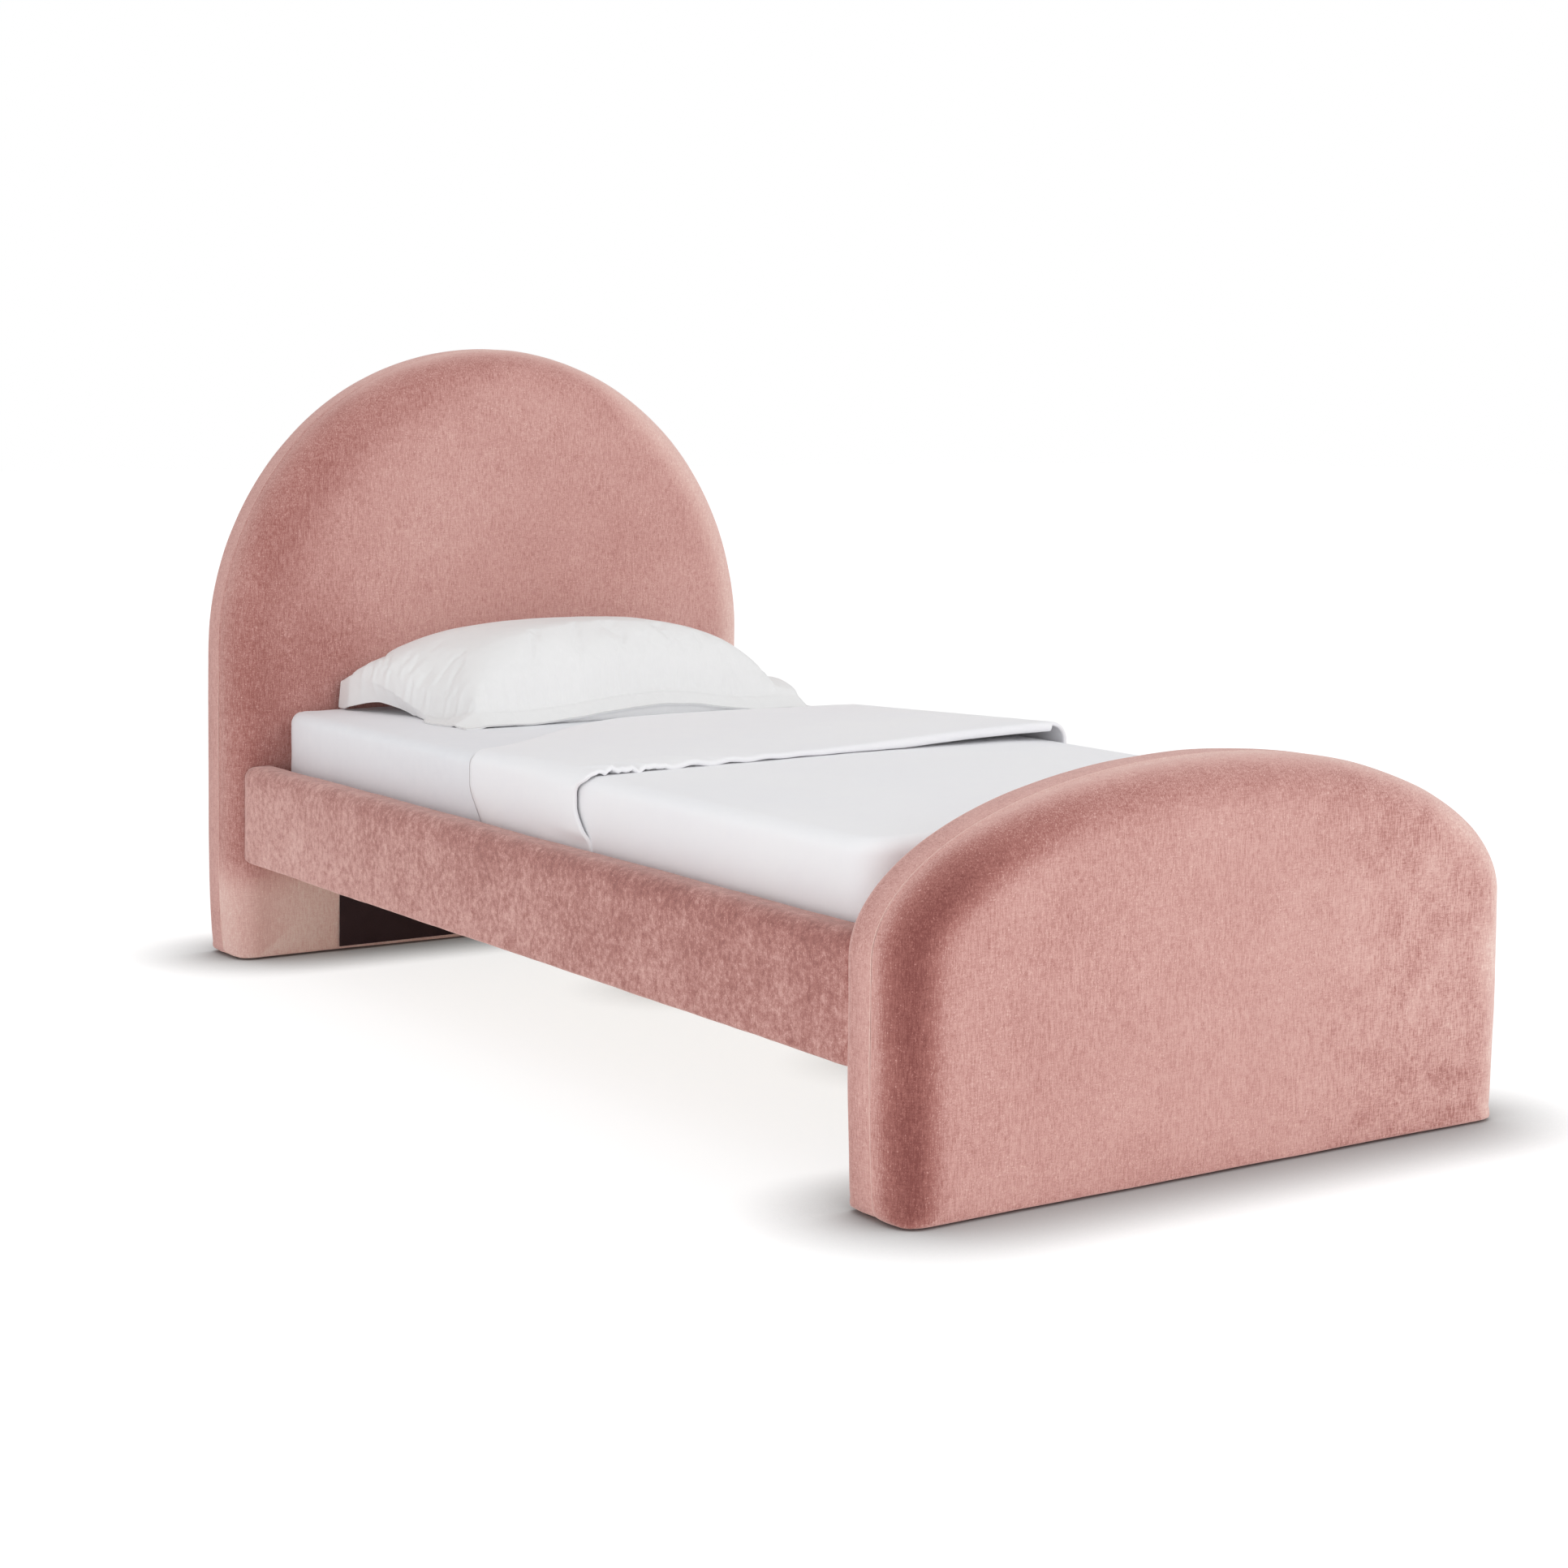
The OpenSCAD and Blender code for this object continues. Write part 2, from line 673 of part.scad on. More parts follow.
module rail_brackets() {
    x0 = rail_inner_x - bracket_leg;
    difference() {
        for (sy = [-1, 1])
            translate([0, sy * inner_y, ledger_mid - bracket_h / 2]) {
                translate([x0, sy > 0 ? -bracket_t : 0, 0])
                    cube([bracket_leg, bracket_t, bracket_h]);
                translate([rail_inner_x - bracket_t, sy > 0 ? -bracket_leg : 0, 0])
                    cube([bracket_t, bracket_leg, bracket_h]);
            }
        for (sy = [-1, 1])
            for (z = bolt_z)
                rod_y([bolt_x, sy * inner_y - bolt_head_h, z], bolt_r + hole_gap, 2 * bolt_head_h);
        bracket_screw_rods(screw_r, rail_inner_x - 2 * bracket_t, 3 * bracket_t);
    }
}
module left_side() {
    mirror([1, 0, 0])
        children();
}
module left_rail_cover() { color(velvet) left_side() rail_cover(); }
module left_rail_foam() { color(foam_yellow) left_side() rail_foam(); }
module left_rail_board() { color(pine) left_side() rail_board(); }
module left_ledger() { color(pine) left_side() ledger(); }
module left_rail_brackets() { color(steel) left_side() rail_brackets(); }
module right_rail_cover() { color(velvet) rail_cover(); }
module right_rail_foam() { color(foam_yellow) rail_foam(); }
module right_rail_board() { color(pine) rail_board(); }
module right_ledger() { color(pine) ledger(); }
module right_rail_brackets() { color(steel) rail_brackets(); }

// Bolts run from each bracket into the inserts of the panel behind it
module each_bolt() {
    for (sx = [-1, 1])
        for (sy = [-1, 1])
            for (z = bolt_z)
                translate([sx * bolt_x, sy * (inner_y - bracket_t - washer_t), z])
                    rotate([-90 * sy, 0, 0])
                        children();
}
module frame_bolts() {
    color(steel)
        each_bolt()
            difference() {
                union() {
                    cylinder(r = bolt_r, h = bolt_len);
                    translate([0, 0, -bolt_head_h])
                        cylinder(r = bolt_head_r, h = bolt_head_h);
                }
                translate([0, 0, -bolt_head_h - past])
                    cylinder(r = bolt_socket_r, h = bolt_socket_depth + past, $fn = 6);
            }
}
module bolt_washers() {
    color(steel)
        each_bolt()
            difference() {
                cylinder(r = washer_r, h = washer_t);
                translate([0, 0, -past])
                    cylinder(r = bolt_r + hole_gap, h = washer_t + 2 * past);
            }
}
module insert(p, dir) {
    translate(p)
        rotate(dir)
            difference() {
                cylinder(r = insert_r, h = insert_len);
                translate([0, 0, -past])
                    cylinder(r = bolt_r + thread_gap, h = insert_len + 2 * past);
            }
}
module threaded_inserts() {
    color(steel) {
        for (sx = [-1, 1])
            for (z = bolt_z) {
                insert([sx * bolt_x, inner_y + face_ply_y, z], [-90, 0, 0]);
                insert([sx * bolt_x, -inner_y - (panel_t - rear_ply_y), z], [90, 0, 0]);
            }
        for (sy = [-1, 1])
            insert([0, sy * leg_y, leg_bottom], [0, 0, 0]);
    }
}
module bracket_screws() {
    color(steel) {
        for (side = [0, 1])
            mirror([side, 0, 0]) {
                bracket_screw_rods(screw_r, rail_inner_x - bracket_t, bracket_t + bracket_screw_len);
                bracket_screw_rods(screw_head_r, rail_inner_x - bracket_t - screw_head_t, screw_head_t);
            }
        for (sx = [-1, 1])
            for (sy = [-1, 1])
                translate([sx * hanger_screw_x, sy * (inner_y - bracket_t), hanger_screw_z])
                    rotate([-90 * sy, 0, 0]) {
                        cylinder(r = screw_r, h = hanger_screw_len);
                        translate([0, 0, -screw_head_t])
                            cylinder(r = screw_head_r, h = screw_head_t);
                    }
    }
}
module ledger_screws() {
    color(steel)
        for (side = [0, 1])
            mirror([side, 0, 0]) {
                ledger_screw_rods(screw_r, rail_inner_x - ledger_w, ledger_screw_len);
                ledger_screw_rods(screw_head_r, rail_inner_x - ledger_w - screw_head_t, screw_head_t);
            }
}

// Slats and the screws that hold each end of a slat to its ledger
function slat_y(i) = -inner_y + first_slat + (i - 1) * slat_pitch;
module slat_screw_rods(side) {
    for (i = [1 : slat_count])
        translate([side * slat_screw_x, slat_y(i), slat_top]) {
            translate([0, 0, -slat_screw_len])
                cylinder(r = screw_r, h = slat_screw_len);
            translate([0, 0, -screw_head_t])
                cylinder(r = screw_head_r, h = screw_head_t);
        }
}
module slat_screws() {
    color(steel)
        for (side = [-1, 1])
            slat_screw_rods(side);
}
module slat(i) {
    color(birch)
        difference() {
            translate([-slat_half, slat_y(i) - slat_w / 2, ledger_top])
                cube([2 * slat_half, slat_w, slat_t]);
            for (side = [-1, 1])
                translate([side * slat_screw_x, slat_y(i), slat_top]) {
                    translate([0, 0, -slat_t - past])
                        cylinder(r = screw_r, h = slat_t + 2 * past);
                    translate([0, 0, -screw_head_t])
                        cylinder(r = screw_head_r, h = screw_head_t + past);
                }
        }
}

module centre_beam() {
    color(pine)
        difference() {
            translate([-beam_w / 2, -beam_half, beam_bottom])
                cube([beam_w, 2 * beam_half, beam_h]);
            for (sy = [-1, 1])
                translate([0, sy * leg_y, beam_bottom - past])
                    cylinder(r = tenon_r, h = tenon_len + past);
        }
}

// Steel saddle that carries each end of the beam
module hanger() {
    x = beam_w / 2 + bracket_t;
    z = beam_bottom - bracket_t;
    difference() {
        union() {
            translate([-x - hanger_wing, inner_y - bracket_t, z])
                cube([2 * (x + hanger_wing), bracket_t, hanger_h + bracket_t]);
            translate([-x, inner_y - hanger_lip, z])
                cube([2 * x, hanger_lip, bracket_t]);
            for (side_x = [-x, x - bracket_t])
                translate([side_x, inner_y - hanger_lip, z])
                    cube([bracket_t, hanger_lip, hanger_h + bracket_t]);
        }
        for (sx = [-1, 1])
            rod_y([sx * hanger_screw_x, inner_y - 2 * bracket_t, hanger_screw_z], screw_r, 3 * bracket_t);
    }
}
module beam_hangers() {
    color(steel)
        for (end = [0, 1])
            mirror([0, end, 0])
                hanger();
}
module centre_legs() {
    color(pine)
        for (sy = [-1, 1])
            translate([0, sy * leg_y, 0])
                difference() {
                    union() {
                        translate([-leg_w / 2, -leg_w / 2, leg_bottom])
                            cube([leg_w, leg_w, beam_bottom - leg_bottom]);
                        translate([0, 0, beam_bottom - past])
                            cylinder(r = tenon_r, h = tenon_len + past);
                    }
                    translate([0, 0, leg_bottom - past])
                        cylinder(r = insert_r, h = insert_len + past);
                    translate([0, 0, leg_bottom])
                        cylinder(r = bolt_r + hole_gap, h = foot_stud_hold + foot_stud_room);
                }
}
module levelling_foot(sy) {
    color(black_plastic)
        translate([0, sy * leg_y, 0]) {
            cylinder(r = pad_r, h = pad_t - pad_bevel);
            translate([0, 0, pad_t - pad_bevel])
                cylinder(r1 = pad_r, r2 = pad_r - 2 * pad_bevel, h = pad_bevel);
            cylinder(r = bolt_r, h = pad_t + foot_stud_len);
        }
}
module levelling_foot_1() { levelling_foot(-1); }
module levelling_foot_2() { levelling_foot(1); }

module mattress_slab(grow) {
    rounded_slab(mattress_w / 2 - sheet_t + grow, mattress_y0 + sheet_t - grow, mattress_y1 - sheet_t + grow,
        mattress_bottom - grow, mattress_top + grow, mattress_corner_r + grow,
        mattress_edge_r + grow, mattress_edge_r + grow);
}
module mattress() {
    color(linen_white)
        mattress_slab(0);
}

// Fitted sheet: a taut skin over the mattress with a hem turned under it
module fitted_sheet() {
    color(linen_white)
        difference() {
            mattress_slab(sheet_t);
            mattress_slab(0);
            translate([-mattress_w / 2 + sheet_hem, mattress_y0 + sheet_hem, slat_top - past])
                cube([mattress_w - 2 * sheet_hem, mattress_len - 2 * sheet_hem, mattress_edge_r]);
        }
}

// Pillow place and shape
sham_to_head = head_gap + 2;
sham_y1 = inner_y - sham_to_head;
sham_y0 = sham_y1 - sham_depth;
sham_base_z = sheet_top + soft_gap;
pillow_inset = flange_w + 20;
fill_depth = 8;
edge_half_t = 0.2;
head_lift = 62;
front_lift = 15;
low_share = 0.35;

// Duvet: rings across the bed, each an outer path and an inner path over the mattress
duvet_x_in = mattress_w / 2 + soft_gap;
duvet_z_in = sheet_top + soft_gap;
duvet_edge_z = slat_top + duvet_edge_up;
duvet_in_r = mattress_edge_r - 4;
duvet_out_r = duvet_in_r + 4;
duvet_rail_gap = 3;
duvet_side_t = side_gap - soft_gap - duvet_rail_gap;
duvet_crown = 4;
duvet_head_y = sham_y0 - pillow_to_fold;
duvet_foot_y = mattress_y0 - soft_gap;
duvet_len = duvet_head_y - duvet_foot_y;
duvet_side_steps = 3;
duvet_corner_steps = 4;
duvet_top_steps = 10;
fold_round = 26;
fold_step = 7;
slide_from_x = 60;
right_slide = 0.16;

// Loft over the top and beside the mattress at distance a from the fold towards the foot
// The folded band is low at the pillow and rises towards its foot edge
function band(a) = ease(a / fold_round) * (1 - ease((a - fold_w + fold_step) / fold_step));
function wedge(a) = band(a) * (0.3 + 0.7 * a / fold_w);
function top_loft(a) = duvet_loft * (0.35 + 0.65 * ease(a / fold_round)) + fold_loft * wedge(a);
function side_loft(a) = duvet_side_t * (0.45 + 0.15 * ease(a / fold_round) + 0.4 * band(a));

// One path from the left edge over the top to the right edge: x half width, top height, corner radius
function over(x, z, r, crown) = concat(
    [for (i = [0 : duvet_side_steps - 1])
        [-x, duvet_edge_z + (z - r - duvet_edge_z) * i / duvet_side_steps]],
    [for (i = [0 : duvet_corner_steps])
        let (t = 90 * i / duvet_corner_steps)
        [-x + r - r * cos(t), z - r + r * sin(t)]],
    [for (i = [1 : duvet_top_steps - 1])
        let (u = 2 * i / duvet_top_steps - 1)
        [u * (x - r), z + crown * (1 - u * u)]],
    [for (i = [0 : duvet_corner_steps])
        let (t = 90 * i / duvet_corner_steps)
        [x - r + r * sin(t), z - r + r * cos(t)]],
    [for (i = [duvet_side_steps - 1 : -1 : 0])
        [x, duvet_edge_z + (z - r - duvet_edge_z) * i / duvet_side_steps]]
);

// The fold lies higher towards its right end, from nothing at the hanging edge
function tilted(p, a) = let (
        across = max(0, p[0] / duvet_x_in),
        up = (p[1] - duvet_edge_z) / (duvet_z_in - duvet_edge_z)
    )
    [p[0], p[1] + fold_tilt * wedge(a) * across * up];

// The fold slides down towards the foot at its left end and less so at its right end
function slide(x) = fold_slant * (ease((-x - slide_from_x) / mattress_w * 2)
    + right_slide * ease((x - slide_from_x) / mattress_w * 2));
function duvet_ring(a) = let (
        y = duvet_head_y - a,
        share = 1 - ease(a / fold_w),
        side = side_loft(a),
        outer = over(duvet_x_in + side, duvet_z_in + top_loft(a), duvet_out_r + side, duvet_crown),
        inner = over(duvet_x_in, duvet_z_in, duvet_in_r, 0)
    )
    [for (p = concat([for (q = outer) tilted(q, a)], reversed(inner)))
        [p[0], y - share * slide(p[0]), p[1]]];

// At the foot the duvet drops behind the mattress as a flap with a rounded upper edge
duvet_flap_t = 9;
function flap_ring(d, drop) = let (
        y = duvet_foot_y - d,
        side = side_loft(duvet_len),
        x = duvet_x_in + side - 0.6 * drop,
        z = duvet_z_in + top_loft(duvet_len) - drop,
        outer = over(x, z, duvet_out_r + side, duvet_crown * (1 - d / duvet_flap_t)),
        n = len(outer) - 1,
        hem = [for (i = [0 : n]) [(x - 1) * (1 - 2 * i / n), duvet_edge_z - 1]]
    )
    [for (p = concat(outer, hem)) [p[0], y, p[1]]];
duvet_stations = concat(
    [0, 6, 14, fold_round],
    [for (i = [1 : 6]) fold_round + (fold_w - 2 * fold_step - fold_round) * i / 6],
    [fold_w - fold_step, fold_w - fold_step / 2, fold_w, fold_w + 8, fold_w + 60],
    [for (i = [1 : 5]) fold_w + 60 + (duvet_len - fold_w - 60) * i / 5]
);
module duvet() {
    flap = [flap_ring(0.4, 0), flap_ring(0.4 * duvet_flap_t, 1),
        flap_ring(0.8 * duvet_flap_t, 4), flap_ring(duvet_flap_t, 9)];
    rings = concat([for (a = duvet_stations) duvet_ring(a)], flap);
    n = len(rings[0]);
    half = n / 2;
    last = (len(rings) - 1) * n;
    faces = concat(
        [for (k = [0 : len(rings) - 2], i = [0 : n - 1])
            each let (j = (i + 1) % n, a = k * n, b = (k + 1) * n)
            [[a + i, b + i, a + j], [a + j, b + i, b + j]]],
        [for (i = [0 : half - 2])
            each let (a = i, b = i + 1, c = n - 1 - i, d = n - 2 - i)
            [[a, b, c], [b, d, c]]],
        [for (i = [0 : half - 2])
            each let (a = last + i, b = last + i + 1, c = last + n - 1 - i, d = last + n - 2 - i)
            [[a, c, b], [b, c, d]]]
    );
    color(linen_white)
        polyhedron(points = [for (ring = rings) each ring], faces = faces, convexity = 6);
}

// Pillow and its cover: a grid in plan with a top and a bottom surface
function swell(u, v) = pow(max(0, 1 - pow(abs(u), 2.4)), 0.6) * pow(max(0, 1 - pow(abs(v), 2.2)), 0.6);

// Height of the cover's middle surface: raised at the headboard, and a little along the front
function sham_mid(u, v) = sham_base_z + flange_t / 2 + head_lift * pow(max(0, v), 2)
    + front_lift * (1 - u * u) * pow(max(0, -v), 2);
function body_share(c, half) = min(1, max(-1, c / (half - flange_w)));
function pillow_swell(x, y) = swell(body_share(x, sham_len / 2), body_share(y, sham_depth / 2));
function pillow_rise(v) = pillow_h - 0.6 * head_lift * max(0, v) * max(0, v);
function sham_top(x, y, inset) = let (u = 2 * x / sham_len, v = 2 * y / sham_depth)
    sham_mid(u, v) + max(edge_half_t, flange_t / 2 - inset)
    + max(0, pillow_rise(v) * pillow_swell(x, y) - inset);
function sham_bottom(x, y, inset) = let (u = 2 * x / sham_len, v = 2 * y / sham_depth)
    max(sham_base_z + inset, sham_mid(u, v) - max(edge_half_t, flange_t / 2 - inset)
    - max(0, low_share * pillow_h * pillow_swell(x, y) - inset));

// Closed form over a plan grid; inset draws it in on every side
module pillow_form(half_x, half_y, nx, ny, inset) {
    cols = nx + 1;
    xs = [for (i = [0 : nx]) half_x * sin(90 * (2 * i / nx - 1))];
    ys = [for (j = [0 : ny]) half_y * sin(90 * (2 * j / ny - 1))];
    top = [for (y = ys, x = xs) [x, y, sham_top(x, y, inset)]];
    low = [for (y = ys, x = xs) [x, y, sham_bottom(x, y, inset)]];
    m = len(top);
    faces = concat(
        [for (j = [0 : ny - 1], i = [0 : nx - 1])
            each let (a = j * cols + i, b = a + 1, c = a + cols, d = c + 1)
            [[a, c, b], [b, c, d]]],
        [for (j = [0 : ny - 1], i = [0 : nx - 1])
            each let (a = m + j * cols + i, b = a + 1, c = a + cols, d = c + 1)
            [[a, b, c], [b, d, c]]],
        [for (i = [0 : nx - 1])
            each let (a = i, b = i + 1)
            [[a, b, m + a], [b, m + b, m + a]]],
        [for (i = [0 : nx - 1])
            each let (a = ny * cols + i, b = a + 1)
            [[a, m + a, b], [b, m + a, m + b]]],
        [for (j = [0 : ny - 1])
            each let (a = j * cols, b = a + cols)
            [[a, m + a, b], [b, m + a, m + b]]],
        [for (j = [0 : ny - 1])
            each let (a = j * cols + nx, b = a + cols)
            [[a, b, m + a], [b, m + b, m + a]]]
    );
    translate([pillow_x, (sham_y0 + sham_y1) / 2, 0])
        polyhedron(points = concat(top, low), faces = faces, convexity = 6);
}
pillow_half_x = sham_len / 2 - pillow_inset;
pillow_half_y = sham_depth / 2 - pillow_inset;
module pillow() {
    color(linen_white)
        pillow_form(pillow_half_x, pillow_half_y, 14, 10, fill_depth);
}
module pillow_sham() {
    color(linen_white)
        difference() {
            pillow_form(sham_len / 2, sham_depth / 2, 24, 16, 0);
            pillow_form(pillow_half_x + soft_gap, pillow_half_y + soft_gap, 14, 10, fill_depth - 1);
        }
}

headboard_front_cover();
headboard_back_cover();
headboard_foam();
headboard_face_panel();
headboard_back_panel();
headboard_posts();
headboard_crossbars();
headboard_arch_rim();
headboard_lining();
headboard_glides();
footboard_front_cover();
footboard_back_cover();
footboard_foam();
footboard_face_panel();
footboard_back_panel();
footboard_posts();
footboard_crossbars();
footboard_arch_rim();
footboard_lining();
footboard_glides();
left_rail_cover();
left_rail_foam();
left_rail_board();
left_ledger();
left_rail_brackets();
right_rail_cover();
right_rail_foam();
right_rail_board();
right_ledger();
right_rail_brackets();
frame_bolts();
bolt_washers();
threaded_inserts();
bracket_screws();
ledger_screws();
slat_screws();
centre_beam();
beam_hangers();
centre_legs();
levelling_foot_1();
levelling_foot_2();
slat(1);  // slat_01
slat(2);  // slat_02
slat(3);  // slat_03
slat(4);  // slat_04
slat(5);  // slat_05
slat(6);  // slat_06
slat(7);  // slat_07
slat(8);  // slat_08
slat(9);  // slat_09
slat(10);  // slat_10
slat(11);  // slat_11
slat(12);  // slat_12
slat(13);  // slat_13
mattress();
fitted_sheet();
duvet();
pillow();
pillow_sham();
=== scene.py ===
"""Looks of an upholstered panel bed with loose bedding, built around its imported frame."""
from math import cos, hypot, pi, sin
from typing import NamedTuple

import bmesh
import bpy
import numpy as np
from mathutils import Matrix, Vector, noise


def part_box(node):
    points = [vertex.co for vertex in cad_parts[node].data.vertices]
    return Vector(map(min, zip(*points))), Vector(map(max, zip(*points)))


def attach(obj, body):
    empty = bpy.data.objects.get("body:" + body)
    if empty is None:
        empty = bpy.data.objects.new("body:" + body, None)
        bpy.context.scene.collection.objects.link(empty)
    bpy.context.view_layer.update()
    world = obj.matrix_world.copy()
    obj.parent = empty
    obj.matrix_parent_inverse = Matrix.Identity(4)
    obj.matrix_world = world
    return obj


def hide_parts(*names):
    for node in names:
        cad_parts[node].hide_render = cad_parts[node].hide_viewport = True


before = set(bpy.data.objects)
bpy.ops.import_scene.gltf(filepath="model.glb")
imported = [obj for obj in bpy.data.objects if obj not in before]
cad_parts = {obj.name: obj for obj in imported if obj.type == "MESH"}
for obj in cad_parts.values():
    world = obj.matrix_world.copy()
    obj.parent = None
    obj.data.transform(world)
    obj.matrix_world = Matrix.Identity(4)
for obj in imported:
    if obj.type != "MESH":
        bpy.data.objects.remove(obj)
scene = bpy.context.scene
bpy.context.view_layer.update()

# Camera: measured place in metres, angles in radians, and the photograph's own frame in pixels
IMAGE_SIZE = 1932
CAMERA_PLACE = (-2.909, -4.123, 1.1287)
YAW, PITCH, ROLL = 0.59056, -0.0679, 0.01105
FOCAL_PX = 3545.7
CENTRE_PX = (881.8, 717.9)
SENSOR = 36.0

# Construction sizes that the frame's boxes don't give, in metres
SHOW_EDGE, REAR_EDGE, FOOT_EDGE = 0.060, 0.027, 0.007
FOOT_RADIUS, DRAW_IN, DRAW_IN_HEIGHT = 0.018, 0.010, 0.250
SEAM_FROM_FACE = 0.068
FOOTBOARD_RISE = 0.247


def frame_box(*nodes):
    """Lowest and highest corner of some nodes together."""
    lows, highs = zip(*(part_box(node) for node in nodes))
    return Vector([min(c) for c in zip(*lows)]), Vector([max(c) for c in zip(*highs)])


def ease(t):
    """Smooth rise from 0 to 1 as t goes from 0 to 1, level before and after."""
    t = np.clip(t, 0.0, 1.0)
    return t * t * (3 - 2 * t)


def bell(value, middle, width):
    """A bump that is 1 at its middle."""
    return np.exp(-((value - middle) / width) ** 2)


def columns(*values):
    """Points from their coordinates; a single value holds for all."""
    return np.stack(np.broadcast_arrays(*values), 1)


def waves(points, size, seed):
    """Smooth noise from -1 to 1 at each point; size is the length of a wave in metres."""
    shift = Vector((seed * 7.31, seed * 3.17, seed * 5.23))
    return np.array([noise.noise(Vector(p) / size + shift) for p in points])


def add_object(name, data):
    added = bpy.data.objects.new(name, data)
    scene.collection.objects.link(added)
    return added


def fill_mesh(mesh, points, faces):
    """Gives an empty mesh its points and its smooth-shaded faces."""
    mesh.from_pydata([tuple(p) for p in points], [], faces)
    mesh.polygons.foreach_set("use_smooth", [True] * len(mesh.polygons))


def add_mesh(name, points, faces, material, body="frame"):
    """Makes a smooth-shaded piece that rides on a body, with its faces turned outwards."""
    mesh = bpy.data.meshes.new(name)
    fill_mesh(mesh, points, faces)
    mesh.validate()
    piece = add_object(name, mesh)
    work = bmesh.new()
    work.from_mesh(mesh)
    bmesh.ops.recalc_face_normals(work, faces=work.faces)
    work.to_mesh(mesh)
    work.free()
    mesh.materials.append(material)
    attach(piece, body)
    return piece


def grid_faces(rows, cols, closed_cols=False, start=0):
    """Quads of a grid of points stored row by row."""
    loops = [range(start + r * cols, start + (r + 1) * cols) for r in range(rows)]
    return [face for a, b in zip(loops, loops[1:]) for face in bridge_faces(a, b, closed_cols)]


def fan_faces(ring_start, count, centre):
    """Triangles from a ring of points to one point."""
    return [(ring_start + i, ring_start + (i + 1) % count, centre) for i in range(count)]


def bridge_faces(loop_a, loop_b, closed=True):
    """Quads between two lists of point numbers of the same length."""
    pairs = list(zip(loop_a, loop_b))
    after = pairs[1:] + pairs[:1] if closed else pairs[1:]
    return [(a, c, d, b) for (a, b), (c, d) in zip(pairs, after)]


def point_attribute(piece, name, values):
    attribute = piece.data.attributes.new(name, "FLOAT", "POINT")
    attribute.data.foreach_set("value", np.asarray(values, np.float32))


def mesh_points(piece):
    flat = np.empty(len(piece.data.vertices) * 3, np.float32)
    piece.data.vertices.foreach_get("co", flat)
    return flat.reshape(-1, 3).astype(float)


def mesh_normals(piece):
    return np.array([tuple(v.normal) for v in piece.data.vertices])


def set_points(piece, points):
    piece.data.vertices.foreach_set("co", np.asarray(points, np.float32).ravel())
    piece.data.update()


def ripple(piece, layers, share=1.0):
    """Moves points along their normals by smooth noise; layers are (size, height, seed)."""
    points = mesh_points(piece)
    lift = sum(height * waves(points, size, seed) for size, height, seed in layers) * share
    set_points(piece, points + mesh_normals(piece) * lift[:, None])


def tube(name, path, radius, material, sides=8):
    """Round cord of mesh along an open path of points."""
    ahead = np.gradient(path, axis=0)
    ahead /= np.linalg.norm(ahead, axis=1)[:, None]
    side = np.cross(ahead[0], (0.31, 0.87, 0.39))
    points = []
    for p, d in zip(path, ahead):
        side = side - d * np.dot(side, d)
        side /= np.linalg.norm(side)
        up = np.cross(d, side)
        points += [p + radius * (cos(t) * side + sin(t) * up)
                   for t in np.linspace(0, 2 * pi, sides, endpoint=False)]
    ends = [tuple(range(sides)), tuple(range(len(points) - sides, len(points)))]
    return add_mesh(name, points, grid_faces(len(path), sides, True) + ends, material)


# Materials

def linear(r, g, b):
    """Colour of a screen value from 0 to 255 as the linear value that a shader takes."""
    shares = [((c / 255 + 0.055) / 1.055) ** 2.4 if c > 10 else c / 3294.6 for c in (r, g, b)]
    return (*shares, 1.0)


class Shading:
    """The nodes of a material or of the world, with short ways to add and join them.

    In a socket given by its name an underscore stands for a space."""

    def __init__(self, owner, shader, **sockets):
        owner.use_nodes = True
        self.result, self.nodes, self.links = owner, owner.node_tree.nodes, owner.node_tree.links
        self.shader = self.nodes[shader]
        self.fill(self.shader, **sockets)

    def join(self, value, socket):
        if isinstance(value, bpy.types.NodeSocket):
            self.links.new(value, socket)
        else:
            socket.default_value = value

    def fill(self, node, **sockets):
        for name, value in sockets.items():
            self.join(value, node.inputs[name.replace("_", " ")])

    def add(self, kind, **sockets):
        node = self.nodes.new("ShaderNode" + kind)
        self.fill(node, **sockets)
        return node

    def math(self, kind, a, b):
        node = self.add("Math")
        node.operation = kind
        self.join(a, node.inputs[0])
        self.join(b, node.inputs[1])
        return node.outputs[0]

    def spread(self, value, low, high):
        """A value from 0 to 1 spread between two others."""
        return self.add("MapRange", Value=value, To_Min=low, To_Max=high).outputs[0]

    def seen(self, *kinds):
        """1 for a ray of one of these kinds, else 0."""
        rays = self.add("LightPath").outputs
        result = rays[f"Is {kinds[0]} Ray"]
        for kind in kinds[1:]:
            result = self.math("MAXIMUM", result, rays[f"Is {kind} Ray"])
        return result


